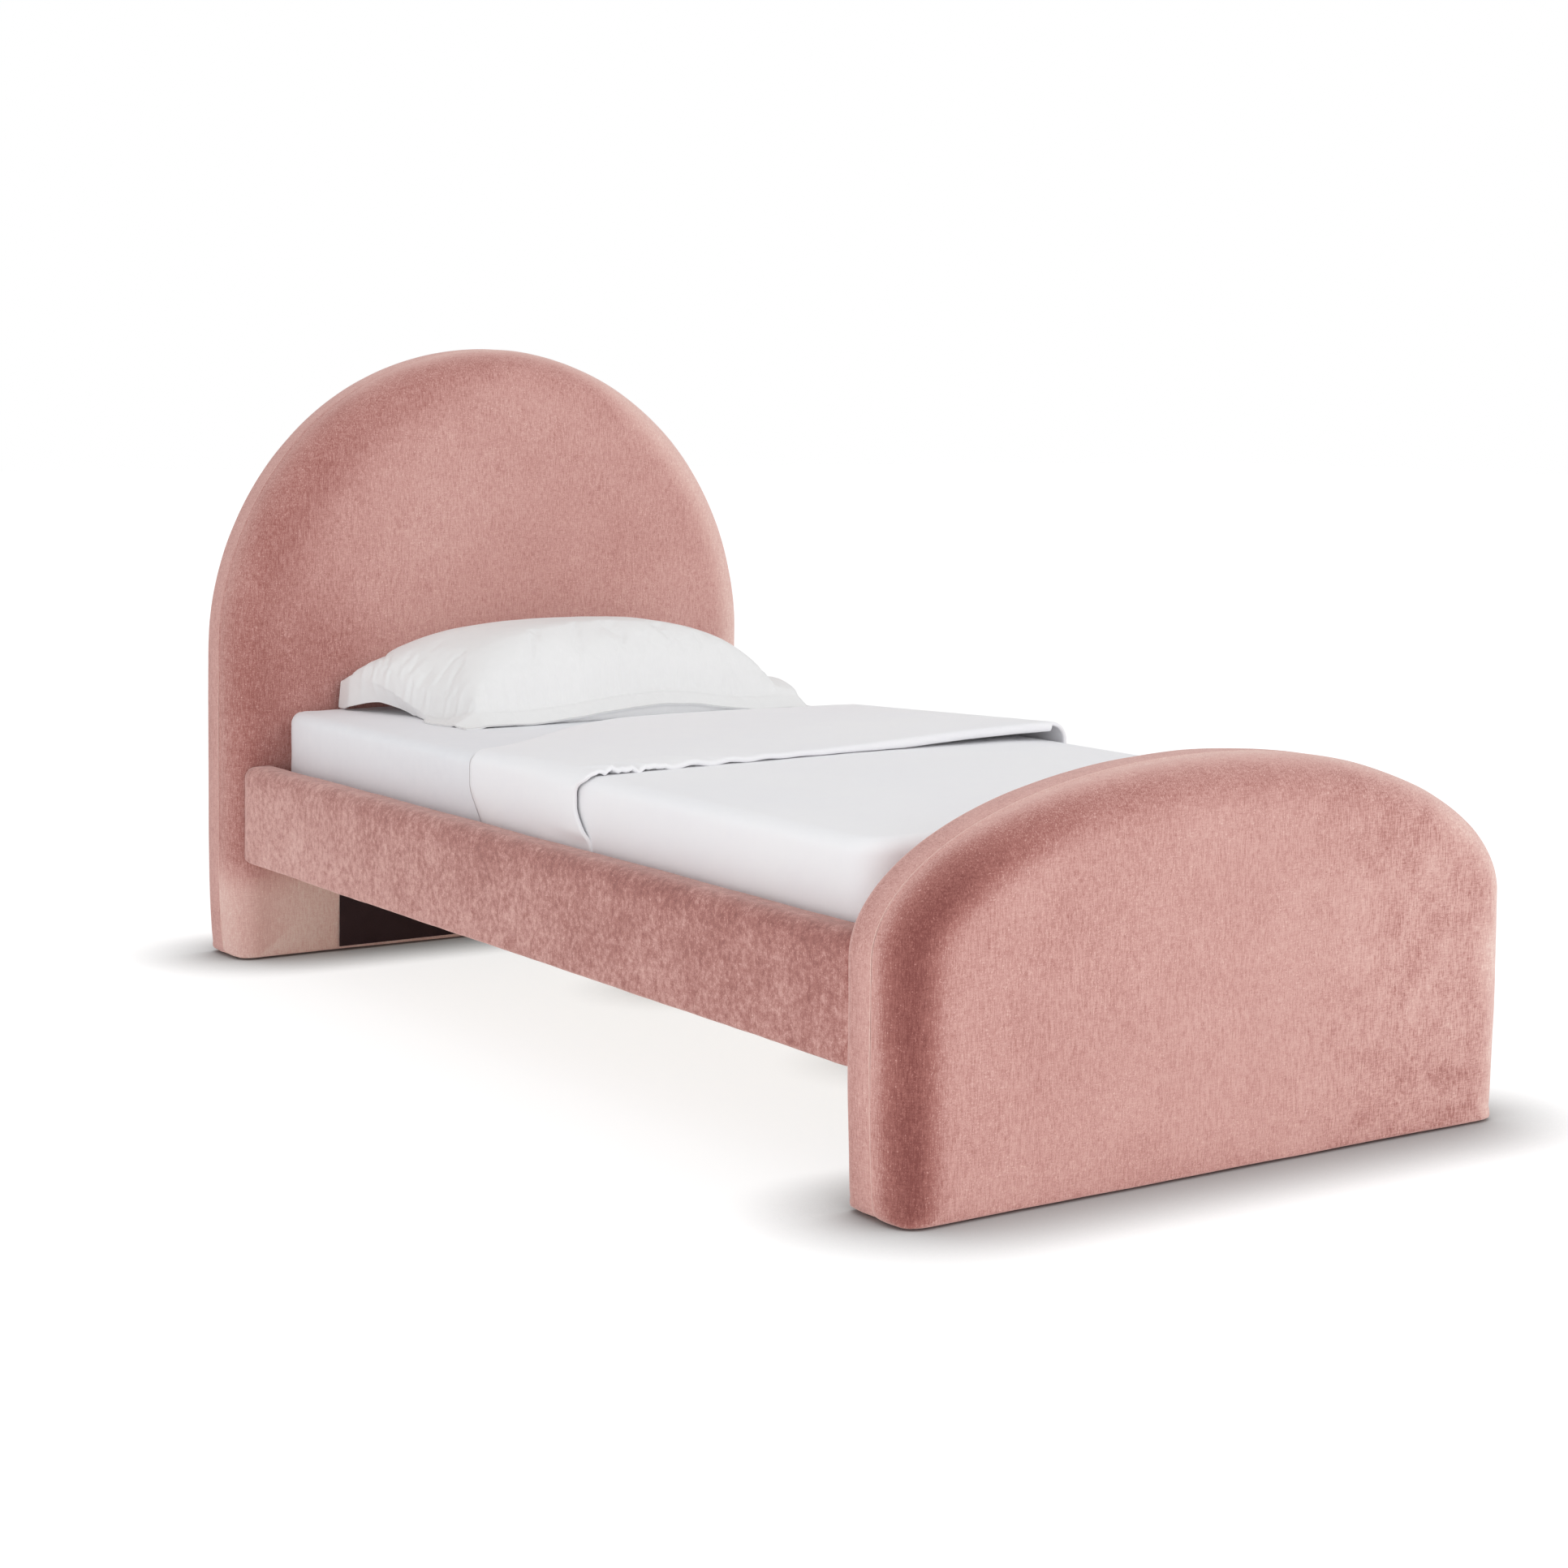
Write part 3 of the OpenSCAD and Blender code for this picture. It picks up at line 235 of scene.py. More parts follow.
class Material(Shading):
    """A principled material with procedural textures in the object's own space."""

    def __init__(self, name, **sockets):
        super().__init__(bpy.data.materials.new(name), "Principled BSDF", **sockets)
        self.place = self.add("TexCoord").outputs["Object"]

    def stretched(self, *scale):
        return self.add("Mapping", Vector=self.place, Scale=scale).outputs[0]

    def noise(self, scale, detail=3.0, rough=0.5, place=None):
        node = self.add("TexNoise", Vector=place or self.place, Scale=scale, Detail=detail, Roughness=rough)
        return node.outputs[0]

    def wave(self, scale, distortion, bands):
        node = self.add("TexWave", Vector=self.place, Scale=scale, Distortion=distortion, Detail=2.0)
        node.bands_direction = bands
        return node.outputs["Color"]

    def attribute(self, name):
        node = self.add("Attribute")
        node.attribute_name = name
        return node.outputs["Fac"]

    def total(self, result, *terms):
        """result plus each value's distance from its middle, which is 0.5 if not given, times its weight."""
        for value, weight, *middle in terms:
            away = self.math("SUBTRACT", value, middle[0] if middle else 0.5)
            result = self.math("ADD", self.math("MULTIPLY", away, weight), result)
        return result

    def ramp(self, value, *stops):
        """Colour between stops; each is a position and a screen colour."""
        node = self.add("ValToRGB")
        self.join(value, node.inputs[0])
        elements = node.color_ramp.elements
        while len(elements) < len(stops):
            elements.new(0.5)
        for element, (position, colour) in zip(elements, stops):
            element.position = position
            element.color = linear(*colour)
        return node.outputs[0]

    def surface(self, colour, rough, bump):
        """Joins a colour, a roughness (value, low, high) and a bump (value, height, strength)."""
        bumped = self.add("Bump", Height=bump[0], Distance=bump[1], Strength=bump[2])
        self.fill(self.shader, Base_Color=colour, Roughness=self.spread(*rough), Normal=bumped.outputs[0])
        return self.result


def velvet_material(name, crush, weave, level=0.52, crush_scale=130.0):
    """Chenille velvet: flecks of crushed pile over the fine upright and level lines of its weave.

    A piece's attributes say where painted shade darkens it ("turn"), where painted light and sheen lighten it
    ("pale"), and where it is mottled ("frost")."""
    m = Material(name, Sheen_Weight=0.7, Sheen_Roughness=0.5, Sheen_Tint=linear(255, 226, 219),
                 Specular_IOR_Level=0.1)
    nap = m.noise(560.0, 2.0, 0.55, m.stretched(1.0, 1.0, 0.12))
    weft = m.noise(560.0, 2.0, 0.55, m.stretched(0.14, 0.14, 1.0))
    pile = m.noise(900.0, 2.0, 0.6)
    fleck = m.math("MAXIMUM", m.math("SUBTRACT", m.noise(420.0, 1.0, 0.5), 0.60), 0.0)
    blotch = m.noise(3.2, 4.0, 0.6)
    crushed = m.noise(crush_scale, 6.0, 0.75)
    drift = m.noise(14.0, 4.0, 0.6)
    frost = m.math("MULTIPLY", m.total(0.0, (drift, 0.50), (nap, 0.35), (weft, 0.25)), m.attribute("frost"))
    # Painted shade ("turn") darkens the tone here, and painted light and sheen ("pale") lighten it.
    tone = m.total(level, (frost, 1.0, 0.0), (blotch, 0.24), (drift, 0.35 * crush), (crushed, crush),
                   (nap, weave), (weft, 0.45 * weave), (pile, 0.45), (fleck, 1.5, 0.012),
                   (m.attribute("turn"), -0.46, 0.0), (m.attribute("pale"), 0.30, 0.0))
    colour = m.ramp(tone, (0.0, (128, 72, 68)), (0.27, (166, 108, 101)), (0.52, (206, 157, 150)),
                    (0.78, (226, 187, 178)), (1.0, (240, 215, 205)))
    relief = m.total(0.0, (nap, 0.8), (weft, 0.5), (pile, 0.6), (crushed, 1.2))
    return m.surface(colour, (crushed, 0.82, 1.0), (relief, 0.0006, 0.6))


def cloth_material(name, low, high):
    """Smooth woven cotton with faint creases in its tone."""
    m = Material(name, Sheen_Weight=0.25, Sheen_Roughness=0.5, Specular_IOR_Level=0.25)
    tone = m.total(0.5, (m.noise(5.0, 4.0, 0.6), 0.6), (m.noise(60.0, 3.0, 0.6), 0.3))
    warp, weft = (m.wave(0.5 / COTTON_THREAD, 0.4, bands) for bands in "XY")
    relief = m.total(0.0, (warp, 0.3), (weft, 0.3), (m.noise(140.0, 4.0, 0.6), 1.0))
    colour = m.ramp(tone, (0.2, low), (0.8, high))
    return m.surface(colour, (m.noise(25.0), 0.78, 0.95), (relief, 0.0004, 0.4))


def wood_material(name, tones, along, plies=False):
    """Sawn wood with its grain along one axis; plies adds the layers of plywood across Y."""
    m = Material(name, Specular_IOR_Level=0.3)
    place = m.stretched(*(0.6 if axis == along else 9.0 for axis in "XYZ"))
    grain = m.noise(9.0, 6.0, 0.65, place)
    fine = m.noise(60.0, 4.0, 0.6, place)
    terms = [(grain, 1.1), (fine, 0.35), (m.noise(2.5, 2.0), 0.4)]
    if plies:
        terms.append((m.wave(160.0, 0.6, "Y"), 0.16))
    colour = m.ramp(m.total(0.5, *terms), *zip((0.1, 0.5, 0.9), tones))
    return m.surface(colour, (fine, 0.55, 0.8), (fine, 0.0003, 0.5))


def steel_material(name):
    m = Material(name, Metallic=1.0)
    brushed = m.noise(400.0, 3.0, 0.6, m.stretched(1.0, 0.1, 1.0))
    tone = m.total(0.5, (brushed, 0.4), (m.noise(40.0, 4.0, 0.6), 0.5))
    colour = m.ramp(tone, (0.2, (150, 152, 156)), (0.8, (198, 200, 204)))
    return m.surface(colour, (brushed, 0.32, 0.5), (brushed, 0.0001, 0.4))


def plastic_material(name):
    m = Material(name, Specular_IOR_Level=0.4)
    grain = m.noise(700.0, 2.0, 0.6)
    colour = m.ramp(m.noise(30.0), (0.3, (26, 26, 28)), (0.7, (40, 40, 43)))
    return m.surface(colour, (grain, 0.45, 0.62), (grain, 0.00015, 0.5))


def lining_material(name):
    """Thin pressed fibre cloth, nearly black."""
    m = Material(name, Specular_IOR_Level=0.15)
    fibre = m.noise(450.0, 4.0, 0.7)
    tone = m.total(0.5, (fibre, 0.9), (m.noise(20.0), 0.5))
    colour = m.ramp(tone, (0.2, (44, 31, 34)), (0.8, (66, 50, 52)))
    return m.surface(colour, (fibre, 0.85, 1.0), (fibre, 0.0003, 0.6))


def ticking_material(name):
    """Mattress ticking: a pale jacquard of small diamonds."""
    m = Material(name, Sheen_Weight=0.2, Specular_IOR_Level=0.2)
    diamonds = m.math("MULTIPLY", m.wave(26.0, 1.0, "DIAGONAL"), m.wave(26.0, 1.0, "X"))
    tone = m.total(0.5, (diamonds, 0.7, 0.25), (m.noise(50.0), 0.4))
    colour = m.ramp(tone, (0.2, (222, 220, 214)), (0.8, (241, 240, 236)))
    return m.surface(colour, (diamonds, 0.7, 0.9), (diamonds, 0.0006, 0.5))


COTTON_THREAD = 0.00045
PLY_TONES = (176, 138, 92), (213, 180, 134), (232, 208, 168)
PINE_TONES = (178, 134, 84), (214, 176, 124), (234, 204, 158)
velvet = velvet_material("blush_velvet", 0.30, 0.50)
velvet_crushed = velvet_material("blush_velvet_crushed", 1.1, 0.35, 0.44, 80.0)
velvet_seam = velvet_material("blush_velvet_seam", 0.2, 0.2, 0.85)
bed_linen = cloth_material("white_cotton", (238, 239, 244), (248, 249, 252))
duvet_linen = cloth_material("duvet_cotton", (248, 248, 252), (254, 254, 255))
sham_linen = cloth_material("pillow_cotton", (240, 240, 240), (249, 249, 249))
fill_cloth = cloth_material("pillow_fill_cloth", (228, 227, 222), (242, 241, 238))
ticking = ticking_material("mattress_ticking")
lining = lining_material("black_lining")
steel = steel_material("brushed_steel")
plastic = plastic_material("black_plastic")
plywood = wood_material("birch_plywood", PLY_TONES, "Z", plies=True)
slat_wood = wood_material("slat_birch", PLY_TONES, "X")
pine_upright = wood_material("pine_upright", PINE_TONES, "Z")
pine_across = wood_material("pine_across", PINE_TONES, "X")
pine_along = wood_material("pine_along", PINE_TONES, "Y")

node_materials = {
    "posts": pine_upright, "centre_legs": pine_upright, "crossbars": pine_across, "slat_screws": steel,
    "slat": slat_wood, "rail_board": pine_along, "ledger_screws": steel, "ledger": pine_along,
    "centre_beam": pine_along, "panel": plywood, "arch_rim": plywood, "glides": plastic,
    "levelling_foot": plastic, "lining": lining, "": steel,
}
for node_name, node_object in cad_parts.items():
    chosen = next(m for key, m in node_materials.items() if key in node_name)
    for material_slot in node_object.material_slots:
        material_slot.material = chosen


# Panels

BOTTOM_STEPS, RUN_STEPS, FOOT_STEPS, SIDE_STEPS, ARCH_STEPS = 26, 4, 8, 26, 64
ROUND_STEPS, BAND_STEPS, FACE_STEPS = 12, 9, 30


def arch_points(half_w, spring, rise, inset, count):
    t = np.linspace(0, pi / 2, count + 1)[1:]
    normal = columns(rise * np.cos(t), half_w * np.sin(t))
    normal /= np.linalg.norm(normal, axis=1)[:, None]
    return columns(half_w * np.cos(t), spring + rise * np.sin(t)) - inset * normal


def panel_outline(half_w, spring, rise, bottom, edge):
    """Stations round a panel: outline points, points where the face starts, and depth of the edge."""
    def side_x(z):
        return half_w - DRAW_IN * np.maximum(0, 1 - (z - bottom) / DRAW_IN_HEIGHT) ** 2
    foot_x = float(side_x(bottom)) - FOOT_RADIUS
    foot_z = bottom + FOOT_RADIUS
    flat_z = bottom + FOOT_EDGE
    face_x = half_w - edge
    t = np.linspace(-pi / 2, 0, FOOT_STEPS)
    run = np.linspace(face_x, foot_x, RUN_STEPS + 1)[:-1]
    foot = np.concatenate([columns(run, bottom),
                           columns(foot_x + FOOT_RADIUS * np.cos(t), foot_z + FOOT_RADIUS * np.sin(t))])
    core = columns(face_x, np.maximum(foot[:, 1], flat_z))
    foot_face = core + 0.04 * (foot - core)
    reach = np.clip((foot[:, 0] - face_x) / (foot_x + FOOT_RADIUS - face_x), 0, 1)
    foot_depth = FOOT_EDGE + (edge - FOOT_EDGE) * (1 - np.sqrt(1 - reach ** 2))
    low_x = np.linspace(0, 1, BOTTOM_STEPS + 1)[:-1] * face_x
    low, low_face = columns(low_x, bottom), columns(low_x, flat_z)
    z = np.linspace(foot_z, spring, SIDE_STEPS + 1)[1:]
    side, side_face = columns(side_x(z), z), columns(face_x, z)
    arch = arch_points(half_w, spring, rise, 0, ARCH_STEPS)
    arch_face = arch_points(half_w, spring, rise, edge, ARCH_STEPS)
    p = np.concatenate([low, foot, side, arch])
    q = np.concatenate([low_face, foot_face, side_face, arch_face])
    e = np.concatenate([np.full(BOTTOM_STEPS, FOOT_EDGE), foot_depth, np.full(SIDE_STEPS + ARCH_STEPS, edge)])
    p, q = (np.concatenate([half, half[-2:0:-1] * (-1.0, 1.0)]) for half in (p, q))
    return p, q, np.concatenate([e, e[-2:0:-1]])


class PaintedShading(NamedTuple):
    """Painted shade and light on a velvet cover, with lengths in metres: a darker band painted round the edge
    where it faces left, painted sheen towards the seam there, and painted light near the floor.
    """
    painted_dark_at: float = 0.0    # where round the edge the painted shade is deepest, from where the face starts
    painted_dark: float = 0.0
    inwards: float = 1.0    # how far the painted shade reaches in over the face
    outwards: float = 1.0   # and towards the seam
    rim_painted_sheen: float = 0.0   # how much painted sheen lightens it towards the seam
    low_painted_light: float = 0.0   # how much painted light lightens it near the floor; it also scales the painted shade beside the pillow


def panel_shell(name, arch, face_y, way, edge, seam_y, crown, seed, nap=None):
    """Cover over one face of a panel and round its edge to the seam; way is 1 for the show face, and nap sets
    the show face's painted shade and light.
    """
    half_w, spring, rise, bottom = arch
    p, q, e = panel_outline(half_w, spring, rise, bottom, edge)
    outward = p - q
    outward /= np.linalg.norm(outward, axis=1)[:, None]
    centre = np.array([0.0, (bottom + spring) / 2 + 0.1])
    reach = np.linalg.norm(q - centre, axis=1)
    # brushed marks the side of the edge that faces left, where a band of painted shade lies; elsewhere
    # painted sheen lightens the rounded edge, less on the back cover.
    brushed = ease((0.05 - outward[:, 0]) / 0.75) if nap else np.zeros(len(p))
    painted_edge_sheen_from = 0.045 - 0.075 * ease(outward[:, 0] / 0.8)
    painted_edge_sheen = 1.0 if nap else 0.3
    nap = nap or PaintedShading()
    rows, painted_shades, painted_lights = [], [], []

    def add_row(points, depth, place, t):
        """One ring; place is its distance round the edge from where the face starts, t its angle."""
        rows.append(columns(points[:, 0], face_y + way * depth, points[:, 1]))
        # Painted shade: a band round the edge on the left-facing side, and a thin line just past where the
        # face starts elsewhere; painted sheen lightens the edge and the band towards the seam.
        painted_dark = nap.painted_dark * bell(place, nap.painted_dark_at, np.where(place < nap.painted_dark_at, nap.inwards, nap.outwards))
        painted_edge_shade = 0.20 * bell(place, 0.03, 0.035) * (1 - ease(outward[:, 0] / 0.7))
        painted_shades.append(brushed * painted_dark * (0.25 + 0.75 * e / edge) + (1 - brushed) * painted_edge_shade)
        painted_lights.append((1 - brushed) * painted_edge_sheen * ease((place - painted_edge_sheen_from) / 0.06)
                     + brushed * nap.rim_painted_sheen * ease((t - 1.15) / 0.45))

    for share in np.linspace(0, 1, FACE_STEPS + 1)[1:] ** 0.8:
        fullness = ease((1 - share) / 0.3) * crown
        add_row(centre + (q - centre) * share, -fullness, -(1 - share) * reach, 0.0)
    for t in np.linspace(0, pi / 2, ROUND_STEPS + 1)[1:]:
        add_row(q + (p - q) * sin(t), e * (1 - cos(t)), e * t, t)
    end = abs(seam_y - face_y)
    for k in range(1, BAND_STEPS + 1):
        share = k / BAND_STEPS
        depth = e + (end - BAND_SHORT - e) * share
        bulge = BAND_BULGE * sin(pi * share)
        add_row(p + outward * bulge, depth, e * pi / 2 + depth - e, pi / 2 + share)
    for inset, back in SEAM_TUCK:
        add_row(p - outward * inset, end - back, e * pi / 2 + end - e, 2.6)
    count = len(p)
    points = np.concatenate(rows + [np.array([[centre[0], face_y - way * crown, centre[1]]])])
    faces = grid_faces(len(rows), count, True) + fan_faces(0, count, len(points) - 1)
    piece = add_mesh(name, points, faces, velvet)
    x, _, z = points.T
    # Painted light near the floor, and painted shade on the left of the face beside the pillow, both only
    # where the settings give a low painted light (the headboard).
    painted_light_near_floor = nap.low_painted_light * (1 - ease((z - 0.12) / 0.09))
    painted_pillow_shade = 0.3 * nap.low_painted_light * bell(x, -0.40, 0.09) * bell(z, 0.60, 0.16)
    point_attribute(piece, "turn", np.append(np.concatenate(painted_shades), 0.0) + painted_pillow_shade)
    point_attribute(piece, "pale", np.append(np.concatenate(painted_lights), 0.0) + painted_light_near_floor)
    point_attribute(piece, "frost", ease((x - 0.05) / 0.4) * (nap.rim_painted_sheen > 0))
    ripple(piece, [(0.30, 0.0016, seed), (0.09, 0.0006, seed + 1), (0.035, 0.0002, seed + 2)])
    return piece


def make_panel(prefix, rise, seed, nap):
    """Both covers of a panel, whose show face is its lowest in Y, and the cord of their seam."""
    low, high = frame_box(prefix + "_front_cover", prefix + "_back_cover")
    arch = (high.x, high.z - rise, rise, low.z)
    seam_y = low.y + SEAM_FROM_FACE
    front = panel_shell(prefix + "_front_velvet", arch, low.y, 1, SHOW_EDGE, seam_y, SHOW_CROWN, seed, nap)
    back = panel_shell(prefix + "_back_velvet", arch, high.y, -1, REAR_EDGE, seam_y, 0.0, seed + 5)
    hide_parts(prefix + "_front_cover", prefix + "_foam")
    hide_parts(prefix + "_back_cover")
    p, q, _ = panel_outline(*arch, SHOW_EDGE)
    out = (p - q) / np.linalg.norm(p - q, axis=1)[:, None]
    line = p - out * SEAM_SUNK
    first = BOTTOM_STEPS + RUN_STEPS + 1
    line = np.concatenate([line[first:], line[:1]])[:len(p) - 2 * first]
    path = columns(line[:, 0], seam_y, line[:, 1])
    tube(prefix + "_side_seam", path, SEAM_RADIUS, velvet_seam)


SHOW_CROWN = 0.003
SEAM_TUCK = (0.0005, 0.0008), (0.0016, 0.0003), (0.004, 0.0)
BAND_SHORT, BAND_BULGE, SEAM_SUNK, SEAM_RADIUS = 0.0016, 0.0012, 0.0004, 0.0009
HEADBOARD_RISE = frame_box("headboard_front_cover")[1].x
make_panel("headboard", HEADBOARD_RISE, 11, PaintedShading(0.008, 0.36, 0.075, 0.085, low_painted_light=1.25))
make_panel("footboard", FOOTBOARD_RISE, 31, PaintedShading(0.034, 0.95, 0.040, 0.050, rim_painted_sheen=0.30))


def make_lining(prefix, side, way):
    """Black cloth over the lower middle of the bed side, stapled flat with slight slack between."""
    y = frame_box(prefix + side + "_cover")[way > 0].y
    low, high = frame_box(prefix + "_lining")
    xs = np.linspace(low.x, high.x, LINING_STEPS[0] + 1)
    zs = np.linspace(low.z, high.z, LINING_STEPS[1] + 1)
    points = [(x, y + way * (SLACK_OUT if low.x < x < high.x and low.z < z < high.z else STAPLED_OUT), z)
              for z in zs for x in xs]
    piece = add_mesh(prefix + "_lining_cloth", points, grid_faces(len(zs), len(xs)), lining)
    points = mesh_points(piece)
    points[:, 1] += 0.0006 * waves(points, 0.12, 61)
    set_points(piece, points)
    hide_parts(prefix + "_lining")


LINING_STEPS, SLACK_OUT, STAPLED_OUT = (60, 24), 0.0042, 0.0036
make_lining("headboard", "_front", -1)
make_lining("footboard", "_back", 1)


# Side rails

RAIL_TOP_R, RAIL_LOW_R, RAIL_STEP, RAIL_ROWS = 0.025, 0.008, 0.012, 170


def rail_section(half_x, low_z, high_z):
    """Outline of a rail with rounded corners: places (x, z) and outward directions."""
    top, bottom = (high_z - RAIL_TOP_R, RAIL_TOP_R, 9), (low_z + RAIL_LOW_R, RAIL_LOW_R, 6)
    section = []
    for quarter, (way, (z, r, steps)) in enumerate(((1, top), (-1, top), (-1, bottom), (1, bottom))):
        for t in np.radians(np.linspace(90 * quarter, 90 * quarter + 90, steps)):
            out_x, out_z = cos(t), sin(t)
            section.append((way * (half_x - r) + r * out_x, z + r * out_z, out_x, out_z))
    dense = []
    for a, b in zip(section, section[1:] + section[:1]):
        parts = max(1, round(hypot(b[0] - a[0], b[1] - a[1]) / RAIL_STEP))
        dense += [[u + (v - u) * k / parts for u, v in zip(a, b)] for k in range(parts)]
    return np.array(dense)


def make_rail(side, sign, seed):
    """Velvet sleeve of a rail, drawn in a little at both ends."""
    low, high = frame_box(side + "_rail_cover")
    mid_x = (low.x + high.x) / 2
    x, z, out_x, out_z = rail_section((high.x - low.x) / 2, low.z, high.z).T
    ends = np.array([0.004, 0.010, 0.018])
    ys = np.sort(np.concatenate([np.linspace(low.y, high.y, RAIL_ROWS), low.y + ends, high.y - ends]))
    rows = []
    for y in ys:
        pinch = 0.0035 * (1 - ease(min(y - low.y, high.y - y) / 0.022)) + 0.0005
        rows.append(columns(mid_x + sign * (x - out_x * pinch), y, z - out_z * pinch))
    count, total = len(x), len(x) * len(ys)
    caps = np.array([[mid_x, y, (low.z + high.z) / 2] for y in (ys[0], ys[-1])])
    faces = grid_faces(len(rows), count, True)
    faces += fan_faces(0, count, total) + fan_faces(total - count, count, total + 1)
    piece = add_mesh(side + "_rail_velvet", np.concatenate(rows + [caps]), faces, velvet_crushed)
    points = mesh_points(piece)
    height = (points[:, 2] - low.z) / (high.z - low.z)
    along = (high.y - points[:, 1]) / (high.y - low.y)
    # Painted shade darkens the sleeve along its top and towards its foot end; painted light lightens it
    # towards the bottom.
    turn = 0.14 * ease((height - 0.74) / 0.12) + 0.30 * ease(along / 0.8)
    point_attribute(piece, "turn", turn)
    point_attribute(piece, "pale", 0.25 * (1 - ease((height - 0.1) / 0.7)))
    middle = ease(np.minimum(points[:, 1] - low.y, high.y - points[:, 1]) / 0.05)
    ripple(piece, [(0.22, 0.0012, seed), (0.06, 0.0007, seed + 1), (0.025, 0.0003, seed + 2)], middle)
    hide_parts(side + "_rail_cover", side + "_rail_foam")


make_rail("left", -1, 71)
make_rail("right", 1, 81)


# Mattress and fitted sheet

def axis_lines(low, high, corner, step):
    """Grid lines between two values, with three lines inside each corner."""
    inner = np.linspace(low + corner, high - corner, max(2, round((high - low - 2 * corner) / step) + 1))
    lead = corner * np.array([0.0, 0.34, 0.68])
    return np.concatenate([low + lead, inner, (high - lead)[::-1]])


def plan_grid(half_x, y0, y1, corner, step, round_head=True):
    """Plan points of a grid with rounded corners, and each point's outward direction."""
    xs = axis_lines(-half_x, half_x, corner, step)
    ys = axis_lines(y0, y1, corner, step)
    gx, gy = np.meshgrid(xs, ys)
    core_x = np.clip(gx, -half_x + corner, half_x - corner)
    core_y = np.clip(gy, y0 + corner, y1 - corner if round_head else y1)
    dx, dy = gx - core_x, gy - core_y
    far = np.maximum(np.hypot(dx, dy), 1e-9)
    ratio = np.maximum(abs(dx), abs(dy)) / far
    return np.dstack([core_x + dx * ratio, core_y + dy * ratio]), np.dstack([dx / far, dy / far])


def border_walk(rows, cols):
    """Point numbers round a grid, counter-clockwise from its first corner."""
    last = rows * cols
    return [*range(cols), *range(2 * cols - 1, last, cols), *range(last - 2, last - cols - 1, -1),
            *range(last - 2 * cols, 0, -cols)]


def add_rings(points, faces, walk, normal, rings, closed=True):
    """Adds rings (offset, z) outside a grid's border, each joined to the one before; returns the last."""
    rim = points[0][walk, :2]
    previous, total = walk, len(points[0])
    for offset, z in rings:
        points.append(columns(*(rim + normal * offset).T, z))
        ring = list(range(total, total + len(rim)))
        faces += bridge_faces(previous, ring, closed)
        previous, total = ring, total + len(rim)
    return previous


def slab(half_x, y0, y1, z0, z1, corner, edge, step, hem=None):
    """Points and faces of a slab with rounded edges; with a hem it is a skin, open below."""
    plan, out = plan_grid(half_x - edge, y0 + edge, y1 - edge, corner - edge, step)
    rows, cols = plan.shape[:2]
    flat = plan.reshape(-1, 2)
    walk = border_walk(rows, cols)
    points, faces = [columns(*flat.T, z1)], grid_faces(rows, cols)
    quarter = np.linspace(0, pi / 2, 7)[1:]
    profile = [(edge * sin(t), z1 - edge * (1 - cos(t))) for t in quarter]
    profile += [(edge, z) for z in np.linspace(z1 - edge, z0 + edge, 11)[1:]]
    profile += [(edge * cos(t), z0 + edge * (1 - sin(t))) for t in quarter]
    if hem:
        profile += [(-inset, z0) for inset in np.linspace(0, hem - edge, 5)[1:]]
    last = add_rings(points, faces, walk, out.reshape(-1, 2)[walk], profile)
    if not hem:
        total = last[-1] + 1
        points.append(columns(*flat.T, z0))
        faces += [tuple(reversed(f)) for f in grid_faces(rows, cols, start=total)]
        faces += bridge_faces(last, [total + i for i in walk])
    return np.concatenate(points), faces


low, high = frame_box("mattress")
MATTRESS_EDGE, MATTRESS_CORNER, QUILT_STEP = 0.020, 0.045, 0.14
points, faces = slab(high.x, low.y, high.y, low.z, high.z, MATTRESS_CORNER, MATTRESS_EDGE, 0.02)
mattress = add_mesh("mattress_body", points, faces, ticking, "mattress")
under = points[:, 2] < low.z + 0.0005
across = abs(np.sin(np.pi * points[:, 0] / QUILT_STEP)) * abs(np.sin(np.pi * points[:, 1] / QUILT_STEP))
points[:, 2] += np.where(under, 0.005 * (1 - ease(across / 0.35)), 0.0)
set_points(mattress, points)
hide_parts("mattress")

# The sheet has fine pulls round its corners, soft waves, and gathers at the hem below
low, high = frame_box("fitted_sheet")
SHEET_EDGE, SHEET_CORNER, SHEET_HEM = 0.021, 0.046, 0.060
points, faces = slab(high.x, low.y, high.y, low.z, high.z, SHEET_CORNER, SHEET_EDGE, 0.012, SHEET_HEM)
sheet = add_mesh("fitted_sheet_cloth", points, faces, bed_linen, "mattress")
near_x = high.x - abs(points[:, 0])
near_y = np.minimum(points[:, 1] - low.y, high.y - points[:, 1])
corner_pull = np.exp(-((near_x ** 2 + near_y ** 2) ** 0.5) / 0.12)
turn_angle = np.arctan2(near_y + 0.01, near_x + 0.01)
pulls = np.maximum(0, np.sin(turn_angle * 18 + points[:, 2] * 60)) ** 2 * corner_pull * 0.0011
soft = 0.0007 * np.maximum(0, waves(points * (1, 1, 0.5), 0.11, 91)) + 0.0003 * waves(points, 0.03, 92)
gathers = 0.0009 * np.sin(np.arctan2(points[:, 1], points[:, 0]) * 210)
hem_gather = np.where(points[:, 2] < low.z + 0.001, gathers, 0)
points = points + mesh_normals(sheet) * (0.0002 + np.maximum(0, soft) + pulls)[:, None]
points[:, 2] += abs(hem_gather) * 0.4
set_points(sheet, points)
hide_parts("fitted_sheet")

# Duvet: a layer over the lower part of the bed, and the part that is folded back over it

